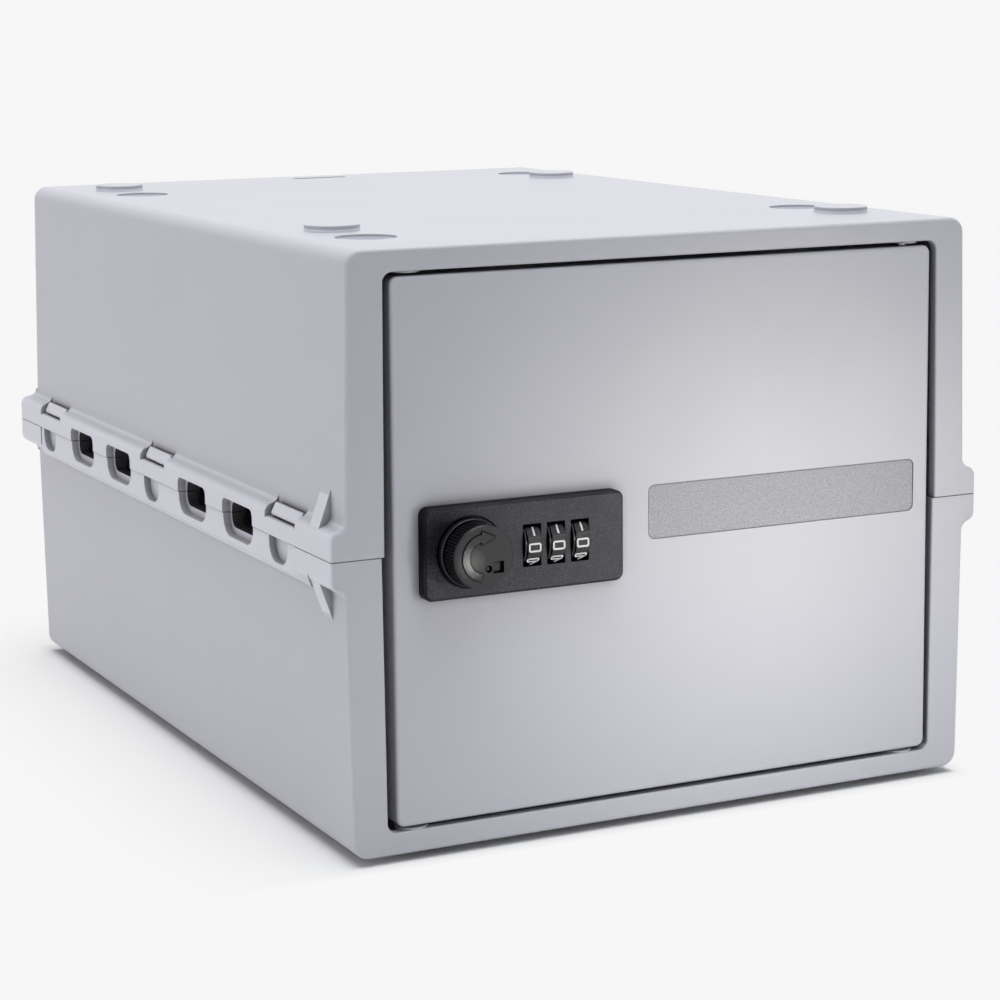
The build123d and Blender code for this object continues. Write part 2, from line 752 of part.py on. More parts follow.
# ---------------------------------------------------------------- lock case
def lock_face_plate():
    outline = rounded_rectangle(plate_x0, plate_x1, seam_z - plate_height / 2,
                                seam_z + plate_height / 2, plate_corner)
    plate = prism_y(outline, plate_front_y, front_y)
    plate = chamfer(edges_at(plate, Axis.Y, plate_front_y), plate_chamfer)
    cut_y0, cut_y1 = plate_front_y - merge, front_y + merge
    half = wheel_window_width / 2
    for x in wheel_xs:
        plate -= block(x - half, x + half, cut_y0, cut_y1,
                       seam_z - wheel_window_height / 2, seam_z + wheel_window_height / 2)
        plate -= rod_x(wheel_axis_y, seam_z, wheel_corner + wheel_room, x - half, x + half)
        sleeve_side = x + flange_x0 - fence_side_clearance
        plate -= rod_x(wheel_axis_y, seam_z, flange_radius + flange_room, sleeve_side, x)
    plate -= rod_y(knob_x, seam_z, knob_ring_radius, cut_y0, plate_front_y + knob_ring_depth)
    plate -= rod_y(knob_x, seam_z, journal_radius + running_clearance, cut_y0, cut_y1)
    for z in fixing_screw_zs:
        plate -= rod_y(fixing_screw_x, z, fixing_screw_radius + seat_clearance,
                       front_y - fixing_screw_bite - screw_tip_gap, cut_y1)
    return plate


def lock_housing():
    low, high = seam_z - housing_half_height, seam_z + housing_half_height
    housing = block(housing_x0, housing_x1, front_y, housing_back_y, low, high)
    housing = fillet(housing.edges().filter_by(Axis.Y), housing_corner)
    housing -= block(housing_x0 + housing_wall, housing_x1 - housing_wall, front_y - merge,
                     housing_back_y + merge, low + housing_wall, high - housing_wall)
    for x0 in (partition_left_x0, partition_right_x0):
        housing += block(x0, x0 + partition_thickness, front_y, partition_back_y,
                         low + housing_wall / 2, high - housing_wall / 2)
    for x, z in cover_screw_places:
        housing += rod_y(x, z, post_radius, front_y, housing_back_y)
    for x, z in cover_screw_places:
        housing -= rod_y(x, z, cover_screw_radius + seat_clearance,
                         housing_back_y - cover_screw_depth, housing_back_y + merge)
    housing -= rod_x(wheel_axis_y, seam_z, axle_radius + seat_clearance, *axle_ends)
    hook_y0 = skin_back_y + hook_gap
    housing += block(housing_x0 - hook_reach, housing_x0 + housing_wall / 2,
                     hook_y0, hook_y0 + hook_thickness,
                     seam_z - hook_half_height, seam_z + hook_half_height)
    return housing


def lock_back_cover():
    outline = rounded_rectangle(housing_x0, housing_x1, seam_z - housing_half_height,
                                seam_z + housing_half_height, housing_corner)
    cover = prism_y(outline, housing_back_y, cover_back_y)
    bores = [(knob_x, seam_z, rear_journal_radius)]
    bores += [(x, z, cover_screw_radius) for x, z in cover_screw_places]
    for x, z, radius in bores:
        cover -= rod_y(x, z, radius + running_clearance, housing_back_y - merge, cover_back_y + merge)
    return cover


def slotted_screw(x, z, radius, head_radius, head, y_tip, y_seat):
    """A screw along Y that enters from the back, with its head on y_seat."""
    screw = rod_y(x, z, radius, y_tip, y_seat) + rod_y(x, z, head_radius, y_seat, y_seat + head)
    top = y_seat + head
    slot = block(x - head_radius - merge, x + head_radius + merge, top - screw_slot_depth, top + merge,
                 z - screw_slot_width / 2, z + screw_slot_width / 2)
    return screw - slot


def cover_screws():
    tip = housing_back_y - cover_screw_depth + screw_tip_gap
    return [slotted_screw(x, z, cover_screw_radius, cover_screw_head_radius,
                          cover_screw_head, tip, cover_back_y)
            for x, z in cover_screw_places]


def fixing_screws():
    tip = front_y - fixing_screw_bite
    return [slotted_screw(fixing_screw_x, z, fixing_screw_radius, fixing_screw_head_radius,
                          fixing_screw_head, tip, skin_back_y)
            for z in fixing_screw_zs]


# ---------------------------------------------------------------- code wheels
def wheel_axle():
    axle = rod_x(wheel_axis_y, seam_z, axle_radius, *axle_ends)
    return chamfer(axle.edges().filter_by(GeomType.CIRCLE), axle_chamfer)


def code_wheel(x):
    """Ten facets for the numbers, a thin rim on the left side and a narrow groove between."""
    x0 = x - wheel_width / 2
    x1 = x + wheel_width / 2
    facets_x0 = x0 + wheel_rim_width + wheel_groove_width
    facets = RegularPolygon(wheel_apothem, wheel_facets, major_radius=False, rotation=180 / wheel_facets)
    facets = fillet(facets.vertices(), wheel_facet_round)
    wheel = prism_x(Pos(wheel_axis_y, seam_z) * facets, facets_x0, x1)
    wheel += rod_x(wheel_axis_y, seam_z, wheel_rim_radius, x0, x0 + wheel_rim_width)
    wheel += rod_x(wheel_axis_y, seam_z, wheel_groove_radius, x0, facets_x0)
    return wheel - rod_x(wheel_axis_y, seam_z, sleeve_radius, x0 - merge, x1 + merge)


def code_sleeve(x):
    """Hub inside a wheel, with a notched flange; the notch points backwards when the wheel reads nought."""
    x0 = x + flange_x0
    x1 = x + wheel_width / 2
    sleeve = rod_x(wheel_axis_y, seam_z, sleeve_radius - seat_clearance, x0, x1)
    sleeve += rod_x(wheel_axis_y, seam_z, flange_radius, x0, x0 + flange_thickness)
    sleeve -= rod_x(wheel_axis_y, seam_z, axle_radius + running_clearance, x0 - merge, x1 + merge)
    return sleeve - block(x0 - merge, x0 + flange_thickness,
                          wheel_axis_y + sleeve_radius, wheel_axis_y + flange_radius + merge,
                          seam_z - notch_half_width, seam_z + notch_half_width)


def detent_spring():
    """One strip with a bowed finger under each wheel, which drops on its facets."""
    floor = seam_z - inner_half_height
    crest = seam_z - wheel_corner - spring_clear
    bow_half = wheel_axis_y - front_y - spring_end_gap
    foot_y0 = wheel_axis_y + spring_foot_behind
    y0, y1 = wheel_axis_y - bow_half, wheel_axis_y + bow_half
    bow = ThreePointArc((y0, floor + spring_thickness), (wheel_axis_y, crest), (y1, floor + spring_thickness))
    under = ThreePointArc((y0, floor), (wheel_axis_y, crest - spring_thickness), (y1, floor))
    finger = make_face([bow, under, Line(bow @ 0, under @ 0), Line(bow @ 1, under @ 1)])
    half = spring_finger_width / 2
    spring = block(wheel_xs[0] - half, wheel_xs[-1] + half, foot_y0, foot_y0 + spring_foot,
                   floor, floor + spring_thickness)
    for x in wheel_xs:
        spring += prism_x(finger, x - half, x + half)
        spring += block(x - half, x + half, y1 - touch, foot_y0 + touch, floor, floor + spring_thickness)
    return spring


def locking_fence():
    """Flat plate behind the wheels: a yoke round the eccentric, and a tooth for each sleeve's notch."""
    centre = knob_x + eccentric_offset
    window_half = eccentric_radius + yoke_clearance
    yoke_half = window_half + yoke_wall
    yoke = rounded_rectangle(centre - yoke_half, centre + yoke_half,
                             seam_z - yoke_window_half_height - yoke_wall,
                             seam_z + yoke_window_half_height + yoke_wall, yoke_corner)
    yoke -= rounded_rectangle(centre - window_half, centre + window_half, seam_z - yoke_window_half_height,
                              seam_z + yoke_window_half_height, yoke_window_corner)
    last_tooth = wheel_xs[-1] + tooth_x0 + tooth_thickness
    bar = rounded_rectangle(centre + window_half + yoke_wall / 3, last_tooth, seam_z - fence_half_height,
                            seam_z + fence_half_height, fence_corner)
    fence = prism_y(yoke + bar, fence_y0, fence_y1)
    for x in wheel_xs:
        fence += block(x + tooth_x0, x + tooth_x0 + tooth_thickness, wheel_axis_y + tooth_tip, fence_y1,
                       seam_z - tooth_half_height, seam_z + tooth_half_height)
    return fence


# ---------------------------------------------------------------- knob, spindle and cam
def knurled_outline():
    points = []
    for i in range(2 * knurl_count):
        radius = knob_grip_radius - knurl_depth * (i % 2)
        angle = pi * i / knurl_count
        points.append((radius * cos(angle), radius * sin(angle)))
    return shape_of(*points)


def knob_arrow():
    """Curved arrow for the way to turn, seen from the front."""
    band = Circle(arrow_outer) - Circle(arrow_inner)
    band &= shape_of((-2 * arrow_outer, -2 * arrow_outer), (arrow_end, -2 * arrow_outer),
                     (arrow_end, 2 * arrow_outer), (-2 * arrow_outer, 2 * arrow_outer))
    middle = (arrow_inner + arrow_outer) / 2
    head = shape_of((arrow_end - touch, middle - arrow_head_half), (arrow_tip, middle),
                    (arrow_end - touch, middle + arrow_head_half))
    return band + head


def knob():
    collar_front = knob_back_y - knob_collar
    face_back = knob_face_y + knob_face_thickness
    body = rod_y(knob_x, seam_z, knob_collar_radius, collar_front, knob_back_y)
    body = fillet(body.edges().group_by(Axis.Y)[0], knob_collar_edge)
    body += prism_y(Pos(knob_x, seam_z) * knurled_outline(), face_back, collar_front + touch)
    face = rod_y(knob_x, seam_z, knob_face_radius, knob_face_y, face_back + touch)
    body += chamfer(face.edges().group_by(Axis.Y)[0], knob_face_chamfer)
    body += prism_y(Pos(knob_x, seam_z) * knob_arrow(), knob_face_y - arrow_height, knob_face_y + touch)
    across, up = key_recess_place
    half = key_recess_side / 2
    body -= block(knob_x + across - half, knob_x + across + half, knob_face_y - merge,
                  knob_face_y + key_recess_depth, seam_z + up - half, seam_z + up + half)
    across, up = key_pit_place
    body -= rod_y(knob_x + across, seam_z + up, key_pit_radius, knob_face_y - merge,
                  knob_face_y + key_pit_depth)
    return body - rod_y(knob_x, seam_z, spindle_nose_radius + seat_clearance,
                        knob_back_y - spindle_nose, knob_back_y + merge)


def knob_spindle():
    square = spindle_square / 2
    spindle = rod_y(knob_x, seam_z, spindle_nose_radius, knob_back_y - spindle_nose, knob_back_y + touch)
    spindle += rod_y(knob_x, seam_z, journal_radius, knob_back_y, partition_back_y)
    spindle += rod_y(knob_x + eccentric_offset, seam_z + eccentric_offset, eccentric_radius,
                     fence_y0 - eccentric_overlap, fence_y1 + eccentric_overlap)
    spindle += rod_y(knob_x, seam_z, rear_journal_radius, fence_y1, cam_y0)
    spindle += block(knob_x - square, knob_x + square, cam_y0 - merge, cam_y1 - touch,
                     seam_z - square, seam_z + square)
    spindle += rod_y(knob_x, seam_z, thread_radius, cam_y0, nut_y1 + thread_spare)
    groove = rod_y(knob_x, seam_z, rear_journal_radius + merge, *spindle_clip_ys)
    groove -= rod_y(knob_x, seam_z, clip_groove_radius, *spindle_clip_ys)
    return spindle - groove


def spindle_clip():
    """Open spring ring in the spindle's groove, behind the cover."""
    y0, y1 = spindle_clip_ys
    ring = rod_y(knob_x, seam_z, clip_ring_radius, y0, y1)
    ring -= rod_y(knob_x, seam_z, clip_groove_radius + seat_clearance, y0 - merge, y1 + merge)
    return ring - block(knob_x - clip_ring_mouth, knob_x + clip_ring_mouth, y0 - merge, y1 + merge,
                        seam_z - 2 * clip_ring_radius, seam_z)


def lock_cam():
    """Latch arm, upright when the lock is open; it turns left behind the strike to lock."""
    arm = rounded_rectangle(-cam_width / 2, cam_width / 2, 0, cam_reach, cam_corner)
    half = spindle_square / 2 + running_clearance
    plate = Circle(cam_hub_radius) + arm - Rectangle(2 * half, 2 * half)
    return prism_y(Pos(knob_x, seam_z) * plate, cam_y0, cam_y1)


def cam_washer():
    washer = rod_y(knob_x, seam_z, washer_radius, cam_y1, washer_y1)
    bore_radius = thread_radius + running_clearance
    return washer - rod_y(knob_x, seam_z, bore_radius, cam_y1 - merge, washer_y1 + merge)


def cam_nut():
    hexagon = RegularPolygon(nut_across_flats / 2, 6, major_radius=False)
    nut = prism_y(Pos(knob_x, seam_z) * hexagon, washer_y1, nut_y1)
    return nut - rod_y(knob_x, seam_z, thread_radius + seat_clearance, washer_y1 - merge, nut_y1 + merge)


# ---------------------------------------------------------------- assembly
def all_parts():
    shell = upper_half()
    pin = hinge_pin()
    parts = {
        "upper_shell": shell,
        "lower_shell": turned_over(shell),
        "door_panel": door_panel(),
        "hinge_pin_upper": pin,
        "hinge_pin_lower": upside_down(pin),
        "lock_face_plate": lock_face_plate(),
        "lock_housing": lock_housing(),
        "lock_back_cover": lock_back_cover(),
        "cover_screws": Compound(children=cover_screws()),
        "fixing_screws": Compound(children=fixing_screws()),
        "wheel_axle": wheel_axle(),
        "detent_spring": detent_spring(),
        "locking_fence": locking_fence(),
        "knob": knob(),
        "knob_spindle": knob_spindle(),
        "spindle_clip": spindle_clip(),
        "lock_cam": lock_cam(),
        "cam_washer": cam_washer(),
        "cam_nut": cam_nut(),
    }
    for number, x in enumerate(wheel_xs, start=1):
        parts[f"code_wheel_{number}"] = code_wheel(x)
        parts[f"code_sleeve_{number}"] = code_sleeve(x)
    return parts


os.makedirs("parts", exist_ok=True)
for node, shape in all_parts().items():
    export_step(shape, f"parts/{node}.step")
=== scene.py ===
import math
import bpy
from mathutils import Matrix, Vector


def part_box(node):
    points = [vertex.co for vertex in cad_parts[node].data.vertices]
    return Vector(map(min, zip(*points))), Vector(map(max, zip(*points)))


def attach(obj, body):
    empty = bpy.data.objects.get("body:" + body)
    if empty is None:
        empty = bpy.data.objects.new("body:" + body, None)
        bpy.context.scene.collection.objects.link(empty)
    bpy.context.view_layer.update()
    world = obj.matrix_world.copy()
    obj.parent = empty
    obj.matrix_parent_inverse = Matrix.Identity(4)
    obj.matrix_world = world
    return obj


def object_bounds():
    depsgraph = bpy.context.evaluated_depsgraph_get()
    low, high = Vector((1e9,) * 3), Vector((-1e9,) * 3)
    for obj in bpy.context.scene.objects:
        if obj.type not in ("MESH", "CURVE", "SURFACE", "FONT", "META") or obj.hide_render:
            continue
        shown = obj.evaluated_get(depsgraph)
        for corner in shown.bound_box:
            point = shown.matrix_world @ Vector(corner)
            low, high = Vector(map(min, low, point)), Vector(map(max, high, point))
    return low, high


bl_info = {
    "name": "Clip-Together Lock Box",
    "version": (1, 0, 0),
    "blender": (4, 5, 0),
    "location": "View3D > Sidebar > Lock Box",
    "description": "Finishes a grey plastic lock box with a pivoting door and a three-wheel code lock",
    "category": "Object",
}

import bmesh
import bpy
from bpy.props import FloatProperty, FloatVectorProperty, IntProperty, PointerProperty
from mathutils import Matrix, Quaternion, Vector

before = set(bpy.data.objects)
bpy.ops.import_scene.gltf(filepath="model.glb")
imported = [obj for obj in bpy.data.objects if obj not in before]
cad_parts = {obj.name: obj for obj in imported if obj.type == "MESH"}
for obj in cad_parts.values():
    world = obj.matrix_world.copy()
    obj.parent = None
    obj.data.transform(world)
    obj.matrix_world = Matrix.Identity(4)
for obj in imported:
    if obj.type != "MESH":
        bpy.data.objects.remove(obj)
CAD_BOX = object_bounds()
CASE_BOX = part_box("lower_shell")
CASE_MIDDLE_Y = (CASE_BOX[0].y + CASE_BOX[1].y) / 2

CASE_NODES = ("upper_shell", "lower_shell")
BLACK_NODES = ("lock_housing", "lock_back_cover")
ZINC_NODES = ("knob_spindle", "lock_cam", "locking_fence", "cam_washer", "cam_nut", "cover_screws",
              "fixing_screws")
BRIGHT_NODES = ("hinge_pin_upper", "hinge_pin_lower", "wheel_axle", "spindle_clip", "detent_spring")
WHEEL_NUMBERS = (1, 2, 3)

# Colours.
WHITE = (1.0, 1.0, 1.0)
WHEEL_BLACK = (0.011, 0.011, 0.014)
BRASS = (0.60, 0.47, 0.22)
ZINC = (0.55, 0.57, 0.60)
STEEL = (0.62, 0.62, 0.63)

# Noises: width of a grain in metres, and how many finer layers it holds.
SHELL_MOTTLE = (0.045, 3.0)
SHELL_GLOSS = (0.02, 4.0)
SHELL_FLOW = (0.06, 1.0)
PLATE_CLOUD = (0.006, 2.0)
KNOB_CLOUD = (0.0008, 3.0)
BLACK_MOTTLE = (0.003, 3.0)
BLACK_GLOSS = (0.0012, 3.0)
BLACK_GRAIN = (0.0003, 2.0)
METAL_MARKS = (0.0006, 3.0)
PAINT_MOTTLE = (0.0004, 2.0)
PAINT_GRAIN = (0.0002, 2.0)
SHELL_GRAIN_LAYERS = 2.0
PANEL_GRAIN_LAYERS = 3.0
PANEL_GRAIN_CONTRAST = 0.7
PLATE_GRAIN_LAYERS = 1.0
NOISE_RANGE = (0.3, 0.7)            # nearly all of a noise lies between these

# Shades of one colour along a noise: (place, share of the colour).
SHELL_SHADES = ((0.3, 0.99), (0.7, 1.01))
PANEL_SHADES = ((0.34, 0.78), (0.52, 1.0), (0.68, 1.28))
BLACK_SHADES = ((0.3, 0.85), (0.7, 1.2))
METAL_SHADES = ((0.3, 0.86), (0.7, 1.1))
PAINT_SHADES = ((0.3, 0.9), (0.6, 1.0))

# Heights of the raised textures, in metres.
SHELL_FLOW_HEIGHT = 0.00004
PANEL_HEIGHT = 0.00005
BLACK_HEIGHT = 0.000008
METAL_HEIGHT = 0.000004
PAINT_HEIGHT = 0.00001

# Radii to which sharp edges are softened, in metres.
PLATE_EDGE = 0.0002
KNOB_EDGE = 0.00012
BLACK_EDGE = 0.00015
METAL_EDGE = 0.0001

# Painted shade in inside corners: reach in metres, share of the colour left, and view that counts as deep
# in one.
PLATE_CORNER_SHADE = (0.0012, 0.4)
KNOB_CORNER_SHADE = (0.0008, 0.0, 0.68)
HOUSING_SHADE_REACH = 0.0012
WHEEL_SHADE_REACH = 0.0045
BLACK_CORNER_SHADE = 0.1
CREVICE_VIEW = 0.15
CORNER_VIEW = 0.5                   # share of free view deep in an ordinary corner
OPEN_VIEW = 0.95                    # share of free view on a spot that counts as open

# Roughness: a range, one value, or how far it wanders from a finish's own value.
PLATE_ROUGHNESS = (0.42, 0.6)
KNOB_ROUGHNESS = (0.3, 0.4)
HOUSING_ROUGHNESS = 0.5
WHEEL_ROUGHNESS = 0.24
BRASS_ROUGHNESS = 0.3
ZINC_ROUGHNESS = 0.38
STEEL_ROUGHNESS = 0.25
PANEL_ROUGHNESS = 0.5
PAINT_ROUGHNESS = 0.55
FLOOR_ROUGHNESS = 0.9
SHELL_CHANGE = (-0.015, 0.015)
BLACK_CHANGE = (-0.05, 0.07)
METAL_CHANGE = (-0.08, 0.1)

# Shine and refraction.
PLASTIC_SHINE = 0.5
HOLE_SHINE = 0.05
BLACK_SHINE = 0.4
FLOOR_SHINE = 0.1
PLASTIC_IOR = 1.5

# Where painted light and shade on the case begin and end.
WALL_LEAN = 0.5                     # largest lean of a surface that counts as a wall of a pad
BRIM_FADE = 0.05                    # half the share of the height over which foot turns to brim
RAIL_LEAN = (0.5, 0.9)              # outward lean at which the rails' painted light begins and is full

# Where painted light and shade on the lock begin and end.
FRONT_LEAN = (-0.6, -0.98)          # forward lean of a wall, and of a face that looks to the front
PLATE_WALL_SHADE = 0.25                  # share of the colour left on the plate's walls: painted shade
PLATE_HOLLOWS = 0.4                 # share of the colour in the hollows of the plate's grain
PLATE_PLACES = (0.38, 0.52, 0.70)   # hollows, plain plate and specks along the grain
PLATE_CHANGE = (-0.03, 0.03)        # how far clouds shift those places
SHADOW_CORE = 0.3                     # share of the painted shadow's radius that is fully dark
HIGHLIGHT_PLACES = (0.1, 0.55, 1.0)    # painted highlight colour, rim and plain colour along the highlight's radius
HIGHLIGHT_RIM = 1.6                    # share of the plain colour at the rim
HIGHLIGHT_CHANGE = (-0.06, 0.06)       # how far clouds shift those places
ARROW_PLACES = (0.2, 0.9)           # where the arrow's painted highlight ends and its painted shade begins
ARROW_END_SHADE = -0.35                   # how much paler the arrow's end is; below 0, so painted shade

# Brushing of the steel: how fine its marks are along X, Y and Z.
STEEL_BRUSH = (1, 1, 0.1)

# Meshes: lengths in metres.
PANEL_RINGS = ((0.0, 0.0), (0.0, 0.00005), (0.00015, 0.00009))    # (inset, height over its foot)
SAME_POINT = 1e-7                   # distance within which two points of a stroke count as one
RIM_DEPTH = 1e-5                    # depth within which points lie on a wheel's right face
FACET_HALF_HEIGHT = 0.0026
FLOOR_RADIUS = 6.0
FLOOR_SEGMENTS = 96
TIGHTEST_MITRE = 0.5                # keeps the tip of a sharp corner from running away

# Shadow on the floor: (share of the way out of it, share of plain backdrop).
SHADOW_FADE = ((0.0, 0.0), (0.05, 0.42), (0.25, 0.62), (0.65, 0.84), (1.0, 1.0))

# Lamps: name, place, target, width, height, power in watts, colour.
SOFTBOXES = (
    ("overhead_softbox", (0.0, 0.1, 1.4), (0, 0, 0.1), 1.4, 1.4, 17.6, WHITE),
    ("front_softbox", (0.1, -0.7, 1.3), (0, -0.1, 0.05), 0.8, 0.6, 3.2, (0.90, 0.985, 1.0)),
    ("left_softbox", (-1.3, 0.1, 0.20), (-0.1, 0, 0.08), 0.9, 0.25, 2.6, (1.0, 0.975, 1.0)),
    ("right_softbox", (1.2, 0.2, 0.6), (0.1, 0, 0.08), 0.8, 0.8, 1.2, WHITE),
)
# Spots: name, target, angle of the beam in degrees, power in watts, colour.
SPOTS = (
    ("door_spot", (0.034, -0.136, 0.076), 7.24, 41, (1.0, 0.965, 0.87)),
    ("door_spot_low", (0.020, -0.136, 0.0), 8.8, 31, WHITE),
)
SPOT_PLACE = (0.787, -1.369, 0.03)
SPOT_RADIUS = 0.06

# Camera: width of its sensor in millimetres, nearest and furthest sight in metres.
SENSOR_WIDTH = 36.0
NEAREST = 0.05
FURTHEST = 50.0


# ---------------------------------------------------------------- sizes and colours
class ShellProperties(bpy.types.PropertyGroup):
    """Moulded plastic of the case and the door."""
    colour: FloatVectorProperty(
        name="Plastic", description="Colour of the grey moulding", subtype="COLOR", size=3, min=0,
        max=1, default=(0.534, 0.534, 0.586))
    roughness: FloatProperty(
        name="Roughness", description="Satin gloss of the moulding", subtype="FACTOR", min=0, max=1,
        default=0.39)
    grain: FloatProperty(
        name="Grain size", description="Width of one grain of the fine moulded texture", unit="LENGTH",
        min=0.0001, max=0.002, default=0.00045)
    grain_depth: FloatProperty(
        name="Grain depth", description="Height of the fine moulded texture", unit="LENGTH", min=0,
        max=0.0002, default=0.000006)
    # Painted shade in crevices: how far it reaches, the band of heights it lies in, and how dark it gets.
    crevice_reach: FloatProperty(
        name="Crevice reach", description="Distance within which facing walls darken each other",
        unit="LENGTH", default=0.0038)
    crevice_heights: FloatVectorProperty(
        name="Crevice heights",
        description="Middle and half height of the zone in which crevices darken", unit="LENGTH",
        size=2, default=(0.0877, 0.0778))
    painted_crevice_shade: FloatProperty(
        name="Crevice shade", description="Share of the colour left deep in a crevice",
        subtype="FACTOR", min=0, max=1, default=0.25)
    edge: FloatProperty(
        name="Edge softness", description="Radius that softens the moulding's sharp edges",
        unit="LENGTH", min=0, max=0.002, default=0.00035)


class HollowProperties(bpy.types.PropertyGroup):
    """Side windows, rails, and the pads and recesses of the top, with painted light and shade on them."""
    hole_depth: FloatVectorProperty(
        name="Hole depth",
        description="Middle and half width of the holes' walls, out from the box's middle",
        unit="LENGTH", size=2, default=(0.0993, 0.0025))
    hole_height: FloatProperty(
        name="Hole height", description="Height of a hole", unit="LENGTH", default=0.0090)
    hole_length: FloatProperty(
        name="Hole length", description="Length of a hole", unit="LENGTH", default=0.0250)
    hole_places: FloatVectorProperty(
        name="Hole places", description="Middles of the holes along the box", unit="LENGTH", size=4,
        default=(-0.0664, -0.0281, 0.0411, 0.0792))
    # Painted shade on the walls of the holes through the rails.
    painted_hole_shade: FloatProperty(
        name="Hole shade", description="Share of the colour left on the holes' walls", default=0.15)
    rail_from: FloatProperty(
        name="Rail from", description="Half width beyond which the surface is the rails' outside",
        unit="LENGTH", default=0.1004)
    # Painted light: the rails' outside is made paler where it leans outward.
    painted_rail_light: FloatProperty(
        name="Rail light", description="Factor by which the rails' outside is paler", default=1.28)
    pad_zone: FloatVectorProperty(
        name="Pad zone", description="Half width and half depth of the part of the top that holds pads",
        unit="LENGTH", size=2, default=(0.092, 0.120))
    pad_height: FloatProperty(
        name="Pad height", description="Height of a pad", unit="LENGTH", default=0.0020)
    # Painted light at the foot of the walls of the top's pads and recesses, and painted shade at their
    # brim.
    painted_foot_light: FloatVectorProperty(
        name="Foot light",
        description="Share by which the foot of a recess's and of a pad's wall is paler", size=2,
        default=(0.65, 0.40))
    painted_brim_light: FloatProperty(
        name="Brim light",
        description="Share by which the brim of the walls is paler, or darker if negative",
        default=-0.15)
    brim_from: FloatVectorProperty(
        name="Brim from",
        description="Share of the height at which the brim of a recess and of a pad begins", size=2,
        default=(0.68, 0.42))


class PanelProperties(bpy.types.PropertyGroup):
    """Plain sunk panel of the door."""
    colour: FloatVectorProperty(
        name="Panel", description="Colour of the textured panel", subtype="COLOR", size=3, min=0, max=1,
        default=(0.373, 0.366, 0.404))
    length: FloatProperty(
        name="Length", description="Width of the panel", unit="LENGTH", default=0.0892)
    height: FloatProperty(
        name="Height", description="Height of the panel", unit="LENGTH", default=0.0151)
    corner: FloatProperty(name="Corner", description="Corner radius", unit="LENGTH", default=0.0018)
    from_right: FloatProperty(
        name="From right", description="Gap to the door's right edge", unit="LENGTH", default=0.0054)
    lift: FloatProperty(
        name="Lift", description="Height of its middle over the seam", unit="LENGTH", default=0.0047)
    sunk: FloatProperty(
        name="Sunk", description="Depth of its face in the door", unit="LENGTH", default=0.00025)
    grain: FloatProperty(
        name="Grain", description="Size of one grain", unit="LENGTH", default=0.0005)


class LockProperties(bpy.types.PropertyGroup):
    """Black plastic of the lock."""
    plate_colour: FloatVectorProperty(
        name="Plate", description="Colour of the face plate", subtype="COLOR", size=3, min=0, max=1,
        default=(0.022, 0.021, 0.033))
    speck_colour: FloatVectorProperty(
        name="Specks", description="Colour of the plate's light specks", subtype="COLOR", size=3, min=0,
        max=1, default=(0.090, 0.087, 0.105))
    knob_colour: FloatVectorProperty(
        name="Knob", description="Colour of the knob", subtype="COLOR", size=3, min=0, max=1,
        default=(0.010, 0.010, 0.013))
    # Painted shadow: a darker patch on the face plate beside the knob.
    painted_shadow_place: FloatVectorProperty(
        name="Shaded place",
        description="Middle of the plate's dull patch, from the middle of the knob",
        subtype="TRANSLATION", unit="LENGTH", size=3, default=(-0.0095, 0.0, 0.0045))
    painted_shadow_reach: FloatProperty(
        name="Shaded reach", description="Radius at which the dull patch ends", unit="LENGTH",
        default=0.013)
    painted_shadow_level: FloatProperty(
        name="Shaded level", description="Share of the colour left in the dull patch", default=0.35)
    grain: FloatProperty(
        name="Plate grain", description="Width of one grain of the plate", unit="LENGTH",
        default=0.00036)
    grain_depth: FloatProperty(
        name="Plate grain depth", description="Height of the plate's grain", unit="LENGTH",
        default=0.00003)
    arrow_height: FloatProperty(
        name="Arrow height", description="Height of the arrow on the knob's face", unit="LENGTH",
        default=0.0003)
    # Painted highlight on the part of the arrow that lies within the painted highlight of the face.
    painted_arrow_highlight: FloatProperty(
        name="Arrow paler",
        description="How much the rubbed part of the arrow is paler than the face round it",
        default=2.2)
    # Painted highlight: a paler patch on the knob's face, with its colour, middle and reach.
    painted_highlight_colour: FloatVectorProperty(
        name="Highlight", description="Colour of the patch of the knob's face rubbed pale",
        subtype="COLOR", size=3, min=0, max=1, default=(0.125, 0.121, 0.116))
    painted_highlight_place: FloatVectorProperty(
        name="Rubbed place", description="Middle of the patch, from the middle of the knob's face",
        subtype="TRANSLATION", unit="LENGTH", size=3, default=(-0.0038, 0.0, -0.0012))
    painted_highlight_reach: FloatProperty(
        name="Rubbed reach", description="Radius at which the patch has faded", unit="LENGTH",
        default=0.0085)


class NumberProperties(bpy.types.PropertyGroup):
    """White numbers on the code wheels."""
    colour: FloatVectorProperty(
        name="Paint", description="Colour of the numbers", subtype="COLOR", size=3, min=0, max=1,
        default=(0.86, 0.87, 0.88))
    width: FloatProperty(
        name="Width", description="Width of a number's centre line", unit="LENGTH", default=0.0033)
    height: FloatProperty(
        name="Height", description="Height of a number's centre line", unit="LENGTH", default=0.00205)
    stroke: FloatProperty(
        name="Stroke", description="Width of its line", unit="LENGTH", default=0.00052)
    drop: FloatProperty(
        name="Drop", description="Shift down along its facet", unit="LENGTH", default=0.0006)
    raised: FloatProperty(
        name="Raised", description="Thickness of the paint", unit="LENGTH", default=0.00005)
    facets: IntProperty(name="Facets", description="Numbers round a wheel", default=10)
    side_step: FloatProperty(
        name="Side step", description="Shift to the right, off the wheel's rim", unit="LENGTH",
        default=0.00045)


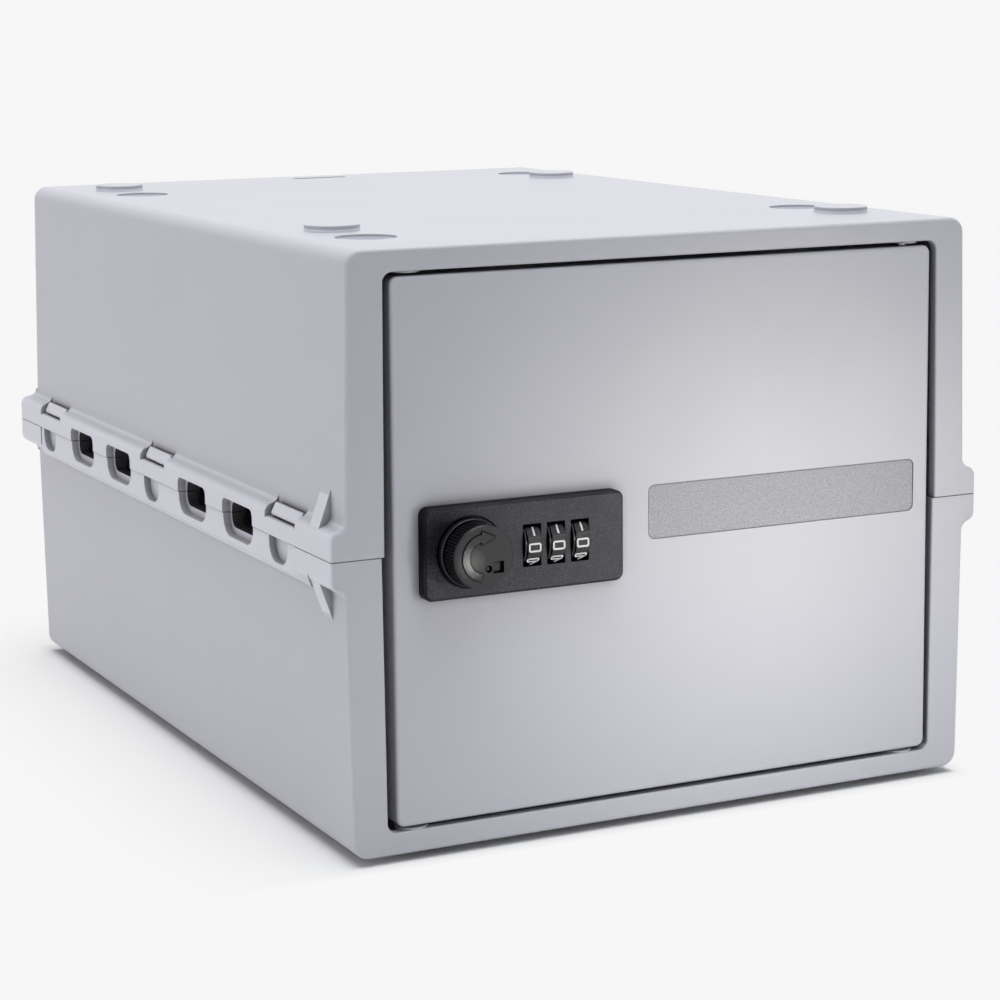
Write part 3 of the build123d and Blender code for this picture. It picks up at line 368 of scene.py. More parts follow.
class StageProperties(bpy.types.PropertyGroup):
    """Camera, floor, backdrop and even light."""
    camera_place: FloatVectorProperty(
        name="Camera", description="Place of the camera", subtype="TRANSLATION", unit="LENGTH", size=3,
        default=(-0.37373, -0.78271, 0.23388))
    camera_azimuth: FloatProperty(
        name="Azimuth", description="Turn of the view to the right of straight back", subtype="ANGLE",
        default=math.radians(26.32))
    camera_pitch: FloatProperty(
        name="Pitch", description="Tilt of the view below the horizon", subtype="ANGLE",
        default=math.radians(8.15))
    camera_roll: FloatProperty(
        name="Roll", description="Roll of the camera", subtype="ANGLE", default=math.radians(-0.53))
    lens: FloatProperty(name="Lens", description="Focal length in millimetres", default=96.88)
    shift: FloatProperty(name="Shift", description="Upward shift of the lens", default=-0.12)
    floor_colour: FloatVectorProperty(
        name="Floor", description="Colour of the floor", subtype="COLOR", size=3, min=0, max=1,
        default=(0.93, 0.93, 0.93))
    backdrop: FloatProperty(name="Backdrop", description="Brightness behind the box", default=0.930)
    sky_colour: FloatVectorProperty(
        name="Sky", description="Colour of the even light", subtype="COLOR", size=3, min=0, max=1,
        default=(0.96, 0.97, 1.0))
    sky: FloatProperty(name="Sky strength", description="Strength of the even light", default=0.224)
    shadow_reach: FloatProperty(
        name="Shadow reach", description="Width of the shadow on the floor", unit="LENGTH",
        default=0.07)
    shadow_pull: FloatProperty(
        name="Shadow pull", description="How much narrower the shadow is in front and on the right",
        default=11.0)
    shadow_inset: FloatProperty(
        name="Shadow inset", description="How far the case's foot lies inside its rails", unit="LENGTH",
        default=0.0062)


# ---------------------------------------------------------------- shader helpers
class NodeKit:
    """Short calls for the nodes of one tree."""

    def __init__(self, tree):
        self.tree = tree

    def feed(self, target, value):
        """Links a socket to a target socket, or gives the target a plain value."""
        if isinstance(value, bpy.types.NodeSocket):
            self.tree.links.new(value, target)
        else:
            target.default_value = value

    def add(self, kind, inputs=None, **settings):
        """Adds a node with its settings and its inputs, which are given by name or number."""
        node = self.tree.nodes.new(kind)
        for key, value in settings.items():
            setattr(node, key, value)
        for key, value in (inputs or {}).items():
            self.feed(node.inputs[key], value)
        return node

    def math(self, operation, *values):
        """Result of one sum on sockets or plain numbers."""
        return self.add("ShaderNodeMath", dict(enumerate(values)), operation=operation).outputs[0]

    def product(self, first, *others):
        """Product of sockets or plain numbers."""
        for other in others:
            first = self.math("MULTIPLY", first, other)
        return first

    def send_mix(self, share, plain, shown, output):
        """Sends light to the output: that of plain where share is 0, that of shown where it is 1."""
        inputs = {"Fac": share, 1: plain.outputs[0], 2: shown.outputs[0]}
        self.feed(output.inputs["Surface"], self.add("ShaderNodeMixShader", inputs).outputs[0])


class Shader(NodeKit):
    """A new material whose noises are sized in metres."""

    def __init__(self, name):
        self.material = bpy.data.materials.new(name)
        self.material.use_nodes = True
        super().__init__(self.material.node_tree)
        self.surface = self.tree.nodes["Principled BSDF"]
        self.output = self.tree.nodes["Material Output"]
        sources = self.add("ShaderNodeTexCoord").outputs
        self.place, self.turned = sources["Object"], sources["Normal"]

    def set(self, **values):
        """Gives the surface's inputs sockets or plain values; an input's spaces are written as _."""
        for key, value in values.items():
            self.feed(self.surface.inputs[key.replace("_", " ")], value)

    def noise(self, size, detail, rough=0.5, stretch=None):
        """Noise whose grains are about size metres wide."""
        source = self.place
        if stretch:
            source = self.add("ShaderNodeMapping", {"Vector": source, "Scale": stretch}).outputs["Vector"]
        inputs = {"Vector": source, "Scale": 1.0 / size, "Detail": detail, "Roughness": rough}
        return self.add("ShaderNodeTexNoise", inputs).outputs["Fac"]

    def along(self, socket, axis):
        """One of the three parts of a vector."""
        return self.add("ShaderNodeSeparateXYZ", {0: socket}).outputs[axis]

    def distance(self, point):
        """Distance of the shaded spot from a point of the piece."""
        node = self.add("ShaderNodeVectorMath", {0: self.place, 1: point}, operation="DISTANCE")
        return node.outputs["Value"]

    def scaled(self, colour, factor):
        """A colour made darker or paler by a factor."""
        node = self.add("ShaderNodeVectorMath", {0: colour, "Scale": factor}, operation="SCALE")
        return node.outputs[0]

    def corners(self, reach, darkest, closed=CORNER_VIEW):
        """A factor for painted shade: 1 on open surfaces, falling to darkest in inside corners.

        reach is in metres, and closed is the share of free view that counts as deep in a corner.
        """
        view = self.add("ShaderNodeAmbientOcclusion", {"Distance": reach}, samples=8).outputs["AO"]
        return self.remap(view, closed, OPEN_VIEW, darkest, 1.0)

    def near(self, source, middle, reach):
        """1 where a value lies within reach of middle, 0 elsewhere."""
        return self.math("COMPARE", source, middle, reach)

    def facing(self, side):
        """side on walls and chamfers, 1 on faces that look straight to the front."""
        return self.remap(self.along(self.turned, "Y"), *FRONT_LEAN, side, 1.0)

    def remap(self, source, low, high, to_low, to_high):
        """A value moved from the range low to high into another range, and held in it."""
        inputs = {"Value": source, "From Min": low, "From Max": high, "To Min": to_low, "To Max": to_high}
        return self.add("ShaderNodeMapRange", inputs).outputs["Result"]

    def between(self, share, at_none, at_full):
        """A value that runs from at_none where share is 0 to at_full where it is 1."""
        return self.remap(share, 0.0, 1.0, at_none, at_full)

    def varied(self, noise, low, high):
        """A noise stretched to run from low to high."""
        return self.remap(noise, *NOISE_RANGE, low, high)

    def ramp(self, source, stops):
        """Colours along a value: (place, colour) pairs."""
        node = self.add("ShaderNodeValToRGB", {"Fac": source})
        while len(node.color_ramp.elements) < len(stops):
            node.color_ramp.elements.new(0.5)
        for element, (place, colour) in zip(node.color_ramp.elements, stops):
            element.position = place
            element.color = (*colour, 1.0)
        return node.outputs["Color"]

    def shades(self, source, colour, stops):
        """Shades of one colour along a value: (place, share of the colour) pairs."""
        return self.ramp(source, [(place, shade(colour, share)) for place, share in stops])

    def bump(self, height, depth, under=None):
        """Raised texture, depth metres high, over the bumps or soft edges under it."""
        inputs = {"Height": height, "Distance": depth, "Strength": 1.0}
        if under is not None:
            inputs["Normal"] = under
        return self.add("ShaderNodeBump", inputs).outputs["Normal"]

    def soft_edges(self, radius):
        """The surface with its sharp edges softened to a radius."""
        return self.add("ShaderNodeBevel", {"Radius": radius}, samples=6).outputs["Normal"]


def shade(colour, factor):
    """A colour made darker or paler by a factor, with no channel over 1."""
    return tuple(min(1.0, channel * factor) for channel in colour)


def window_holes(shader, props):
    """1 on the walls of the holes through the rails, 0 everywhere else."""
    seam = (CAD_BOX[0].z + CAD_BOX[1].z) / 2
    depth = shader.near(shader.math("ABSOLUTE", shader.along(shader.place, "X")), *props.hole_depth)
    level = shader.near(shader.along(shader.place, "Z"), seam, props.hole_height / 2)
    length = 0.0
    for middle in props.hole_places:
        beside = shader.near(shader.along(shader.place, "Y"), middle, props.hole_length / 2)
        length = shader.math("MAXIMUM", beside, length)
    return shader.product(depth, level, length)


def painted_pad_wall_light(shader, props):
    """Painted light and shade on the walls of the top's pads and recesses: paler at their foot, darker at
    their brim.
    """
    low = CAD_BOX[1].z - 2 * props.pad_height
    middle = (CAD_BOX[0] + CAD_BOX[1]) / 2
    height = shader.math("SUBTRACT", shader.along(shader.place, "Z"), low)
    risen = shader.math("DIVIDE", height, props.pad_height)
    on_wall = shader.product(
        shader.near(shader.along(shader.turned, "Z"), 0.0, WALL_LEAN),
        shader.near(shader.along(shader.place, "X"), middle.x, props.pad_zone[0]),
        shader.near(shader.along(shader.place, "Y"), CASE_MIDDLE_Y, props.pad_zone[1]),
        shader.math("GREATER_THAN", risen, 0.0))
    on_pad = shader.math("GREATER_THAN", risen, 1.0)
    brim_starts = shader.between(on_pad, *props.brim_from)
    past_brim = shader.math("SUBTRACT", shader.math("FRACT", risen), brim_starts)
    brim = shader.remap(past_brim, -BRIM_FADE, BRIM_FADE, 0.0, 1.0)
    foot = shader.between(on_pad, *props.painted_foot_light)
    to_brim = shader.math("SUBTRACT", props.painted_brim_light, foot)
    change = shader.math("ADD", foot, shader.product(brim, to_brim))
    return shader.math("ADD", shader.product(on_wall, change), 1.0)


def moulded_plastic(name, finish=None):
    """Satin light grey plastic: faint mottling, painted shade in crevices, an even grain, slow changes of
    gloss.
    """
    props = bpy.context.scene.lock_box_shell
    shader = Shader(name)
    skin = shader.shades(shader.noise(*SHELL_MOTTLE), props.colour, SHELL_SHADES)
    # finish, where given, paints more light and shade into the colour.
    if finish:
        skin = finish(shader, skin)
    # Painted shade: within a band of heights, the colour darkens in crevices where the view is closed.
    crevices = shader.near(shader.along(shader.place, "Z"), *props.crevice_heights)
    painted_crevice_darkening = shader.math(
        "MAXIMUM", shader.corners(props.crevice_reach, props.painted_crevice_shade, CREVICE_VIEW),
        shader.math("SUBTRACT", 1.0, crevices))
    gloss = shader.varied(shader.noise(*SHELL_GLOSS),
                          *(props.roughness + change for change in SHELL_CHANGE))
    flow = shader.bump(shader.noise(*SHELL_FLOW), SHELL_FLOW_HEIGHT, shader.soft_edges(props.edge))
    grain = shader.bump(shader.noise(props.grain, SHELL_GRAIN_LAYERS), props.grain_depth, flow)
    shader.set(Base_Color=shader.scaled(skin, painted_crevice_darkening), Roughness=gloss, Normal=grain, IOR=PLASTIC_IOR)
    return shader.material


def textured_panel():
    """Coarser sparkling texture of the sunk panel."""
    props = bpy.context.scene.lock_box_panel
    shader = Shader("sunk_panel_texture")
    grain = shader.noise(props.grain, PANEL_GRAIN_LAYERS, rough=PANEL_GRAIN_CONTRAST)
    shader.set(Base_Color=shader.shades(grain, props.colour, PANEL_SHADES),
               Normal=shader.bump(grain, PANEL_HEIGHT), Roughness=PANEL_ROUGHNESS)
    return shader.material


def middle_at(low, high, depth):
    """Point in the middle of a box's width and height, at a depth."""
    return Vector(((low.x + high.x) / 2, depth, (low.z + high.z) / 2))


def grained_black():
    """Spark-eroded black plastic of the face plate: light specks, painted shade on its walls and in its
    corners, and a painted shadow beside the knob.
    """
    props = bpy.context.scene.lock_box_lock
    shader = Shader("lock_plate_black")
    grain = shader.noise(props.grain, PLATE_GRAIN_LAYERS)
    cloud = shader.varied(shader.noise(*PLATE_CLOUD), *PLATE_CHANGE)
    colours = (shade(props.plate_colour, PLATE_HOLLOWS), props.plate_colour, props.speck_colour)
    specks = shader.ramp(shader.math("ADD", grain, cloud), list(zip(PLATE_PLACES, colours)))
    # Painted shadow: the colour darkens near a place beside the knob.
    low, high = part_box("knob")
    beside = shader.distance(middle_at(low, high, high.y) + Vector(props.painted_shadow_place))
    reach = props.painted_shadow_reach
    shadowed = shader.remap(beside, SHADOW_CORE * reach, reach, props.painted_shadow_level, 1.0)
    # Painted shade on walls and corners, with the painted shadow; it also lowers the shine.
    painted_plate_shade = shader.product(shader.facing(PLATE_WALL_SHADE), shader.corners(*PLATE_CORNER_SHADE), shadowed)
    shader.set(Base_Color=shader.scaled(specks, painted_plate_shade),
               Specular_IOR_Level=shader.between(painted_plate_shade, 0.0, BLACK_SHINE),
               Normal=shader.bump(grain, props.grain_depth, shader.soft_edges(PLATE_EDGE)),
               Roughness=shader.varied(grain, *PLATE_ROUGHNESS))
    return shader.material


def knob_black():
    """Black plastic of the knob: a painted highlight on a patch of its face and on the arrow there,
    painted shade on the rest of the arrow and in its corners.
    """
    props = bpy.context.scene.lock_box_lock
    shader = Shader("knob_black")
    low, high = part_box("knob")
    # Painted highlight: the colour turns paler towards a place on the face.
    highlit = shader.distance(middle_at(low, high, low.y) + Vector(props.painted_highlight_place))
    cloud = shader.varied(shader.noise(*KNOB_CLOUD), *HIGHLIGHT_CHANGE)
    share = shader.math("ADD", shader.math("DIVIDE", highlit, props.painted_highlight_reach), cloud)
    colours = (props.painted_highlight_colour, shade(props.knob_colour, HIGHLIGHT_RIM), props.knob_colour)
    colour = shader.ramp(share, list(zip(HIGHLIGHT_PLACES, colours)))
    # On the arrow the painted highlight is stronger, and past it the arrow gets painted shade.
    arrow_face = low.y + props.arrow_height / 2
    on_arrow = shader.math("LESS_THAN", shader.along(shader.place, "Y"), arrow_face)
    change = shader.product(on_arrow, shader.remap(share, *ARROW_PLACES, props.painted_arrow_highlight, ARROW_END_SHADE))
    paler = shader.math("ADD", change, 1.0)
    # Painted shade in the corners round the arrow and the knob's edges; it also lowers the shine.
    corners = shader.corners(*KNOB_CORNER_SHADE)
    grain = shader.bump(shader.noise(*BLACK_GRAIN), BLACK_HEIGHT, shader.soft_edges(KNOB_EDGE))
    shader.set(Base_Color=shader.scaled(colour, shader.product(paler, corners)),
               Specular_IOR_Level=shader.product(corners, BLACK_SHINE), Normal=grain,
               Roughness=shader.varied(shader.noise(*BLACK_GLOSS), *KNOB_ROUGHNESS))
    return shader.material


def satin_black(name, colour, roughness, shine, shade_reach):
    """Plain black plastic with a faint skin, and painted shade in corners up to shade_reach metres from
    them.
    """
    shader = Shader(name)
    skin = shader.shades(shader.noise(*BLACK_MOTTLE), colour, BLACK_SHADES)
    # Painted shade in corners; it also lowers the shine.
    corners = shader.corners(shade_reach, BLACK_CORNER_SHADE)
    gloss = shader.varied(shader.noise(*BLACK_GLOSS), *(roughness + change for change in BLACK_CHANGE))
    grain = shader.bump(shader.noise(*BLACK_GRAIN), BLACK_HEIGHT, shader.soft_edges(BLACK_EDGE))
    shader.set(Base_Color=shader.scaled(skin, corners), Specular_IOR_Level=shader.product(corners, shine),
               Roughness=gloss, Normal=grain)
    return shader.material


def plated_metal(name, colour, roughness, brush=None):
    """Plated or turned metal, with fine marks that brush may draw out along one way."""
    shader = Shader(name)
    marks = shader.noise(*METAL_MARKS, stretch=brush)
    gloss = shader.varied(marks, *(roughness + change for change in METAL_CHANGE))
    shader.set(Base_Color=shader.shades(marks, colour, METAL_SHADES), Roughness=gloss, Metallic=1.0,
               Normal=shader.bump(marks, METAL_HEIGHT, shader.soft_edges(METAL_EDGE)))
    return shader.material


def number_paint():
    """Slightly uneven white paint."""
    props = bpy.context.scene.lock_box_numbers
    shader = Shader("number_paint")
    shader.set(Base_Color=shader.shades(shader.noise(*PAINT_MOTTLE), props.colour, PAINT_SHADES),
               Normal=shader.bump(shader.noise(*PAINT_GRAIN), PAINT_HEIGHT), Roughness=PAINT_ROUGHNESS)
    return shader.material


# ---------------------------------------------------------------- mesh helpers
def dress(node, material):
    """Gives a construction node its finish."""
    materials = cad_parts[node].data.materials
    materials.clear()
    materials.append(material)


def built_mesh(name, mesh_builder):
    """Mesh that mesh_builder makes."""
    mesh = bpy.data.meshes.new(name)
    work = bmesh.new()
    mesh_builder(work)
    work.to_mesh(mesh)
    work.free()
    return mesh


def new_piece(name, mesh_builder, material, body):
    """Adds a piece that rides on a body and takes its finish from a slot."""
    mesh = built_mesh(name, mesh_builder)
    mesh.materials.append(material)
    piece = bpy.data.objects.new(name, mesh)
    bpy.context.scene.collection.objects.link(piece)
    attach(piece, body)


def join_rows(work, rows, closed=True):
    """Faces between rows of points; closed rows also join their last point to their first."""
    count = len(rows[0])
    for index in range(count if closed else count - 1):
        follow = (index + 1) % count
        for one, other in zip(rows, rows[1:]):
            work.faces.new((one[index], one[follow], other[follow], other[index]))


def arc_points(centre, radius, start, end, steps=6):
    """Points of an arc, angles in quarter turns from the right."""
    turns = [start + (end - start) * step / steps for step in range(steps + 1)]
    return [(centre[0] + radius * math.cos(math.pi / 2 * turn),
             centre[1] + radius * math.sin(math.pi / 2 * turn)) for turn in turns]


def rounded_outline(width, height, radius, steps=8):
    """Points of a rectangle with round corners, about its middle."""
    points = []
    for quarter, (right, up) in enumerate(((1, 1), (-1, 1), (-1, -1), (1, -1))):
        centre = (right * (width / 2 - radius), up * (height / 2 - radius))
        points += arc_points(centre, radius, quarter, quarter + 1, steps)
    return points


# ---------------------------------------------------------------- number shapes
def number_paths(width, height):
    """Centre lines of the numbers 0 to 9 as broad rounded strokes: (points, closed) lists."""
    w, h = width / 2, height / 2
    r = height * 0.2
    top, bottom = h - r, -h + r
    right, left = w - r, -w + r
    nought = (arc_points((right, top), r, 0, 1) + arc_points((left, top), r, 1, 2)
              + arc_points((left, bottom), r, 2, 3) + arc_points((right, bottom), r, 3, 4))
    upper_bowl = (arc_points((right, top), r, 0, 1) + arc_points((left, top), r, 1, 2)
                  + arc_points((left, r * 0.9), r * 0.9, 2, 3)
                  + arc_points((right, r * 0.9), r * 0.9, 3, 4))
    lower_bowl = [(x, -y) for x, y in upper_bowl]
    return {
        0: [(nought, True)],
        1: [([(0, -h * 1.3), (0, h * 1.3)], False)],
        2: [([(-w, top)] + arc_points((left, top), r, 2, 1) + arc_points((right, top), r, 1, 0)
             + [(w, r * 0.4), (-w, -h), (w, -h)], False)],
        3: [([(-w, h), (right, h)] + arc_points((right, top), r, 1, 0)
             + [(w, r * 0.8), (w - r, 0)], False),
            ([(-w * 0.4, 0), (right, 0), (w, -r * 0.8)] + arc_points((right, bottom), r, 4, 3)
             + [(-w, -h)], False)],
        4: [([(w * 0.5, -h), (w * 0.5, h), (-w, -h * 0.25), (w, -h * 0.25)], False)],
        5: [([(w, h), (-w, h), (-w, h * 0.15), (right, h * 0.15)] + arc_points((right, -r * 0.1), r, 1, 0)
             + arc_points((right, bottom), r, 4, 3) + [(-w, -h)], False)],
        6: [(lower_bowl, True), ([(-w, -h * 0.1), (w * 0.3, h * 1.1)], False)],
        7: [([(-w, h), (w, h), (-w * 0.1, -h)], False)],
        8: [(upper_bowl, True), (lower_bowl, True)],
        9: [(upper_bowl, True), ([(w, h * 0.1), (-w * 0.3, -h * 1.1)], False)],
    }


def stroke_outline(points, closed, half):
    """Left and right sides of a stroke along points, mitred at its corners."""
    count = len(points)
    left, right = [], []
    for index, here in enumerate(points):
        ways = []
        if closed or index > 0:
            ways.append((here - points[index - 1]).normalized())
        if closed or index < count - 1:
            ways.append((points[(index + 1) % count] - here).normalized())
        way = sum(ways, Vector((0, 0))).normalized()
        side = Vector((-way.y, way.x))
        spread = half / max(TIGHTEST_MITRE, side.dot(Vector((-ways[0].y, ways[0].x))))
        left.append(here + side * spread)
        right.append(here - side * spread)
    return left, right


def add_stroke(work, to_wheel, points, closed, half, raised):
    """One raised stroke, with a top and side walls."""
    points = [Vector(point) for point in points]
    before = [None] + points[:-1]
    clean = [point for point, last in zip(points, before)
             if last is None or (point - last).length > SAME_POINT]
    if closed and (clean[0] - clean[-1]).length < SAME_POINT:
        clean.pop()
    left, right = stroke_outline(clean, closed, half)
    rows = [[work.verts.new(to_wheel @ Vector((point.x, point.y, z))) for point in side]
            for side, z in ((left, 0), (left, raised), (right, raised), (right, 0))]
    join_rows(work, rows, closed)
    if not closed:
        for end in (0, -1):
            work.faces.new([row[end] for row in rows])


def facet_distance(node, axis_y, axis_z):
    """Distance from the wheel's axis to its front facet, read from the points of that facet."""
    right_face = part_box(node)[1].x - RIM_DEPTH
    points = [vertex.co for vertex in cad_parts[node].data.vertices]
    facet = [point for point in points if point.x > right_face and point.y < axis_y
             and abs(point.z - axis_z) < FACET_HALF_HEIGHT]
    if not facet:
        raise RuntimeError(f"{node} has no front facet")
    return max(axis_y - point.y for point in facet)


# ---------------------------------------------------------------- operators
class LOCKBOX_OT_case(bpy.types.Operator):
    """Finish the two half shells in satin grey plastic"""
    bl_idname = "lock_box.case"
    bl_label = "Case"

    def execute(self, context):
        material = moulded_plastic("case_plastic", self.paint_hollow_light_and_shade)
        for node in CASE_NODES:
            dress(node, material)
        return {"FINISHED"}

    @staticmethod
    def paint_hollow_light_and_shade(shader, skin):
        """Paints shade on the walls of the side windows' holes, paints light on the rails' outside and
        paints light and shade on the pads' walls.
        """
        props = bpy.context.scene.lock_box_hollows
        holes = window_holes(shader, props)
        shader.set(Specular_IOR_Level=shader.between(holes, PLASTIC_SHINE, HOLE_SHINE))
        # Painted light on the rails' outside.
        width = shader.math("ABSOLUTE", shader.along(shader.place, "X"))
        outward = shader.math("ABSOLUTE", shader.along(shader.turned, "X"))
        outside = shader.product(shader.math("GREATER_THAN", width, props.rail_from), outward)
        rails = shader.remap(outside, *RAIL_LEAN, 1.0, props.painted_rail_light)
        # Painted shade on the holes' walls, times the painted light of the rails.
        walls = shader.product(shader.between(holes, 1.0, props.painted_hole_shade), rails)
        return shader.scaled(skin, shader.product(walls, painted_pad_wall_light(shader, props)))


class LOCKBOX_OT_door(bpy.types.Operator):
    """Finish the door and lay the textured face in its sunk panel"""
    bl_idname = "lock_box.door"
    bl_label = "Door"

    def execute(self, context):
        dress("door_panel", moulded_plastic("door_plastic"))
        props = context.scene.lock_box_panel
        low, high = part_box("door_panel")
        seam = (low.z + high.z) / 2
        middle = Vector((high.x - props.from_right - props.length / 2, low.y + props.sunk,
                         seam + props.lift))

        def panel(work):
            outline = rounded_outline(props.length, props.height, props.corner)
            rings = []
            for inset, out in PANEL_RINGS:
                scale_x = (props.length / 2 - inset) / (props.length / 2)
                scale_z = (props.height / 2 - inset) / (props.height / 2)
                rings.append([work.verts.new(middle + Vector((x * scale_x, -out, z * scale_z)))
                              for x, z in outline])
            join_rows(work, rings)
            work.faces.new(rings[-1])
            work.faces.new(list(reversed(rings[0])))
            bmesh.ops.recalc_face_normals(work, faces=work.faces)

        new_piece("door_sunk_panel_face", panel, textured_panel(), "door")
        return {"FINISHED"}


class LOCKBOX_OT_lock(bpy.types.Operator):
    """Finish the lock's face plate, knob, housing and cover in black"""
    bl_idname = "lock_box.lock"
    bl_label = "Lock"

    def execute(self, context):
        dress("lock_face_plate", grained_black())
        dress("knob", knob_black())
        housing = satin_black("housing_black", context.scene.lock_box_lock.knob_colour,
                              HOUSING_ROUGHNESS, PLASTIC_SHINE, HOUSING_SHADE_REACH)
        for node in BLACK_NODES:
            dress(node, housing)
        return {"FINISHED"}


class LOCKBOX_OT_wheels(bpy.types.Operator):
    """Finish the code wheels and paint their numbers"""
    bl_idname = "lock_box.wheels"
    bl_label = "Code wheels"

    def execute(self, context):
        props = context.scene.lock_box_numbers
        black = satin_black("wheel_black", WHEEL_BLACK, WHEEL_ROUGHNESS, BLACK_SHINE, WHEEL_SHADE_REACH)
        brass = plated_metal("turned_brass", BRASS, BRASS_ROUGHNESS)
        paint = number_paint()
        paths = number_paths(props.width, props.height)
        for number in WHEEL_NUMBERS:
            dress(f"code_wheel_{number}", black)
            dress(f"code_sleeve_{number}", brass)
            self.paint_numbers(number, props, paths, paint)
        return {"FINISHED"}

    @staticmethod
    def paint_numbers(number, props, paths, paint):
        """Lays a raised number on each facet of one wheel, upright when that facet is in front."""
        low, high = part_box(f"code_wheel_{number}")
        axis_y, axis_z = (low.y + high.y) / 2, (low.z + high.z) / 2
        middle_x = (low.x + high.x) / 2 + props.side_step
        facet = facet_distance(f"code_wheel_{number}", axis_y, axis_z)
        if not low.y < axis_y - facet < axis_y:
            raise RuntimeError("the code wheel has no facets to number")
        to_axis = Matrix.Translation((middle_x, axis_y, axis_z))
        to_facet = Matrix.Translation((0, -facet, -props.drop))
        upright = Matrix.Rotation(math.pi / 2, 4, "X")

        def numbers(work):
            for digit, strokes in paths.items():
                turn = Matrix.Rotation(-2 * math.pi * digit / props.facets, 4, "X")
                to_wheel = to_axis @ turn @ to_facet @ upright
                for points, closed in strokes:
                    add_stroke(work, to_wheel, points, closed, props.stroke / 2, props.raised)
            bmesh.ops.recalc_face_normals(work, faces=work.faces)

        new_piece(f"code_wheel_{number}_numbers", numbers, paint, f"wheel_{number}")


class LOCKBOX_OT_metal(bpy.types.Operator):
    """Finish the pins, screws, cam and springs in metal"""
    bl_idname = "lock_box.metal"
    bl_label = "Metal parts"

    def execute(self, context):
        zinc = plated_metal("zinc_plate", ZINC, ZINC_ROUGHNESS)
        bright = plated_metal("bright_steel", STEEL, STEEL_ROUGHNESS, STEEL_BRUSH)
        for node in ZINC_NODES:
            dress(node, zinc)
        for node in BRIGHT_NODES:
            dress(node, bright)
        return {"FINISHED"}


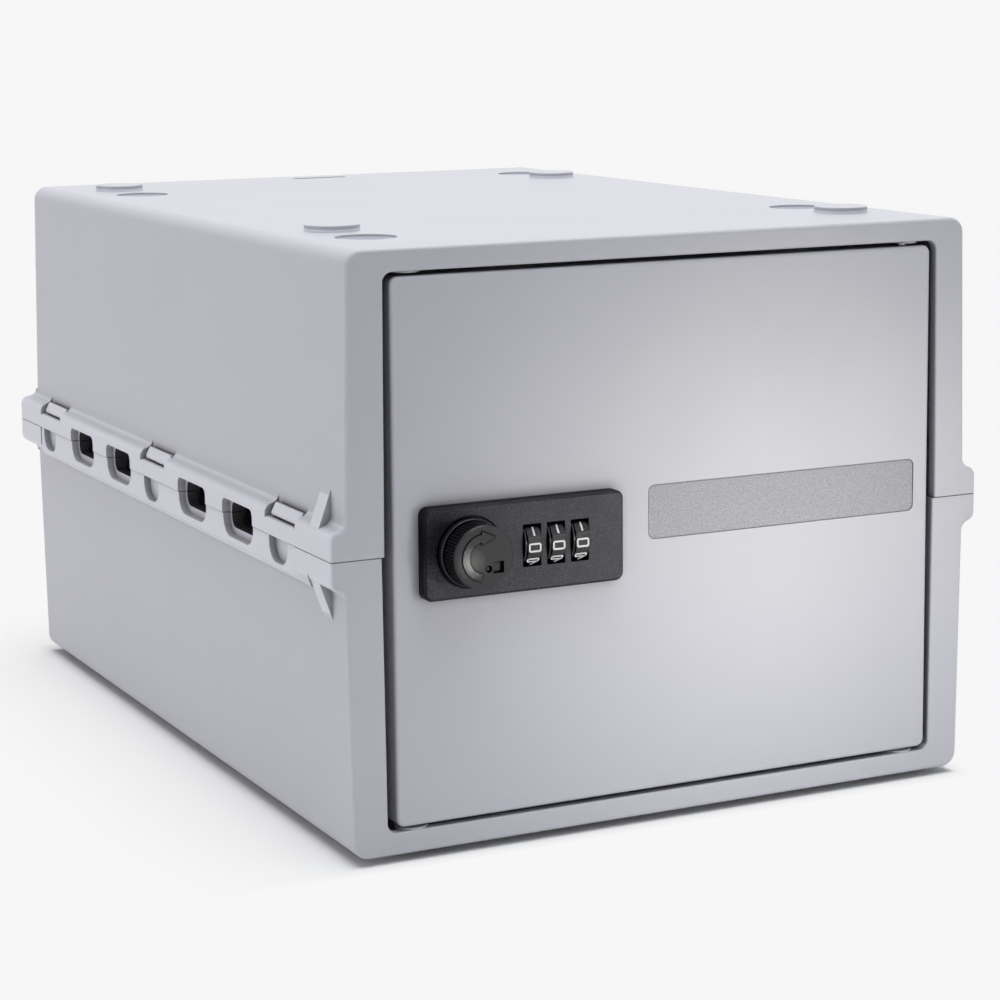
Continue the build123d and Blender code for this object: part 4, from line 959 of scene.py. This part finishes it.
class LOCKBOX_OT_stage(bpy.types.Operator):
    """Lay the floor and set up the lamps and the camera"""
    bl_idname = "lock_box.stage"
    bl_label = "Stage"

    def execute(self, context):
        props = context.scene.lock_box_stage
        floor = self.floor(context, props)
        self.world(context, props)
        self.lamps(context)
        self.camera(context, props)
        context.scene.view_settings.view_transform = "Standard"
        return {"FINISHED"}

    @staticmethod
    def seen_ray(kit):
        """1 for rays that the camera, a gloss or a glass sees by, 0 for rays that light things."""
        path = kit.add("ShaderNodeLightPath").outputs
        seen = kit.math("MAXIMUM", path["Is Camera Ray"], path["Is Glossy Ray"])
        return kit.math("MAXIMUM", seen, path["Is Transmission Ray"])

    @staticmethod
    def past_shadow(shader, props):
        """0 under the box, rising to 1 on plain floor: slowly behind the box and on its left."""
        low, high = CASE_BOX
        sides = {"X": (low.x + props.shadow_inset, 1.0, high.x - props.shadow_inset, props.shadow_pull),
                 "Y": (low.y, props.shadow_pull, high.y, 1.0)}
        away = {}
        for axis, (start, before, end, after) in sides.items():
            place = shader.along(shader.place, axis)
            under = shader.product(shader.math("SUBTRACT", start, place), before)
            over = shader.product(shader.math("SUBTRACT", place, end), after)
            away[axis] = shader.math("MAXIMUM", shader.math("MAXIMUM", under, over), 0.0)
        vector = shader.add("ShaderNodeCombineXYZ", away).outputs[0]
        distance = shader.add("ShaderNodeVectorMath", {0: vector}, operation="LENGTH").outputs["Value"]
        share = shader.math("DIVIDE", distance, props.shadow_reach)
        return shader.ramp(share, [(place, (level,) * 3) for place, level in SHADOW_FADE])

    def floor(self, context, props):
        """Floor that keeps the box's shadow and is seen as plain backdrop past it."""
        mesh = built_mesh("floor", lambda work: bmesh.ops.create_circle(
            work, cap_ends=True, segments=FLOOR_SEGMENTS, radius=FLOOR_RADIUS))
        floor = bpy.data.objects.new("floor", mesh)
        context.scene.collection.objects.link(floor)
        shader = Shader("floor_white")
        shader.set(Base_Color=(*props.floor_colour, 1), Roughness=FLOOR_ROUGHNESS,
                   Specular_IOR_Level=FLOOR_SHINE)
        backdrop = shader.add("ShaderNodeEmission", {"Color": (*WHITE, 1), "Strength": props.backdrop})
        shown = shader.product(self.seen_ray(shader), self.past_shadow(shader, props))
        shader.send_mix(shown, shader.surface, backdrop, shader.output)
        mesh.materials.append(shader.material)
        return floor

    def world(self, context, props):
        """Even light, seen as plain backdrop."""
        world = bpy.data.worlds.new("studio")
        context.scene.world = world
        world.use_nodes = True
        kit = NodeKit(world.node_tree)
        lit = kit.tree.nodes["Background"]
        kit.feed(lit.inputs["Color"], (*props.sky_colour, 1))
        kit.feed(lit.inputs["Strength"], props.sky)
        backdrop = kit.add("ShaderNodeBackground", {"Color": (*WHITE, 1), "Strength": props.backdrop})
        kit.send_mix(self.seen_ray(kit), lit, backdrop, kit.tree.nodes["World Output"])

    @staticmethod
    def aim(context, data, place, target, power, colour):
        """Hangs a lamp at place, turned to target, out of the camera's sight."""
        data.energy = power
        data.color = colour
        lamp = bpy.data.objects.new(data.name, data)
        lamp.location = place
        lamp.rotation_mode = "QUATERNION"
        lamp.rotation_quaternion = (Vector(target) - Vector(place)).to_track_quat("-Z", "Y")
        lamp.visible_camera = False
        context.scene.collection.objects.link(lamp)

    def lamps(self, context):
        """Softboxes, and spots far in front that fade evenly from the middle of their narrow beams."""
        for name, place, target, width, height, power, colour in SOFTBOXES:
            data = bpy.data.lights.new(name, "AREA")
            data.shape = "RECTANGLE"
            data.size = width
            data.size_y = height
            self.aim(context, data, place, target, power, colour)
        for name, target, angle, power, colour in SPOTS:
            data = bpy.data.lights.new(name, "SPOT")
            data.spot_size = math.radians(angle)
            data.spot_blend = 1.0
            data.shadow_soft_size = SPOT_RADIUS
            self.aim(context, data, SPOT_PLACE, target, power, colour)

    @staticmethod
    def camera(context, props):
        """Camera before the box's left front corner, with a shifted lens."""
        data = bpy.data.cameras.new("camera")
        data.sensor_fit = "AUTO"
        data.sensor_width = SENSOR_WIDTH
        data.lens = props.lens
        data.shift_y = props.shift
        data.clip_start = NEAREST
        data.clip_end = FURTHEST
        camera = bpy.data.objects.new("camera", data)
        camera.location = props.camera_place
        level = math.cos(props.camera_pitch)
        ahead = Vector((math.sin(props.camera_azimuth) * level, math.cos(props.camera_azimuth) * level,
                        -math.sin(props.camera_pitch)))
        roll = Quaternion((0, 0, 1), props.camera_roll)
        camera.rotation_mode = "QUATERNION"
        camera.rotation_quaternion = ahead.to_track_quat("-Z", "Y") @ roll
        context.scene.collection.objects.link(camera)
        context.scene.camera = camera


OPERATORS = (LOCKBOX_OT_case, LOCKBOX_OT_door, LOCKBOX_OT_lock, LOCKBOX_OT_wheels, LOCKBOX_OT_metal,
             LOCKBOX_OT_stage)
PROPERTIES = {
    "lock_box_shell": ShellProperties,
    "lock_box_hollows": HollowProperties,
    "lock_box_panel": PanelProperties,
    "lock_box_lock": LockProperties,
    "lock_box_numbers": NumberProperties,
    "lock_box_stage": StageProperties,
}


class LOCKBOX_PT_sidebar(bpy.types.Panel):
    """Lists the lock box's pieces and their sizes"""
    bl_label = "Lock Box"
    bl_idname = "LOCKBOX_PT_sidebar"
    bl_space_type = "VIEW_3D"
    bl_region_type = "UI"
    bl_category = "Lock Box"

    def draw(self, context):
        for operator in OPERATORS:
            self.layout.operator(operator.bl_idname)
        for name, group in PROPERTIES.items():
            box = self.layout.box()
            box.label(text=group.__doc__)
            values = getattr(context.scene, name)
            for key in group.__annotations__:
                box.prop(values, key)


def register():
    for group in PROPERTIES.values():
        bpy.utils.register_class(group)
    for name, group in PROPERTIES.items():
        setattr(bpy.types.Scene, name, PointerProperty(type=group))
    for operator in OPERATORS:
        bpy.utils.register_class(operator)
    bpy.utils.register_class(LOCKBOX_PT_sidebar)


def unregister():
    bpy.utils.unregister_class(LOCKBOX_PT_sidebar)
    for operator in reversed(OPERATORS):
        bpy.utils.unregister_class(operator)
    for name, group in reversed(PROPERTIES.items()):
        delattr(bpy.types.Scene, name)
        bpy.utils.unregister_class(group)


def main():
    register()
    bpy.ops.lock_box.case()
    bpy.ops.lock_box.door()
    bpy.ops.lock_box.lock()
    bpy.ops.lock_box.wheels()
    bpy.ops.lock_box.metal()
    bpy.ops.lock_box.stage()


if __name__ == "__main__":
    main()
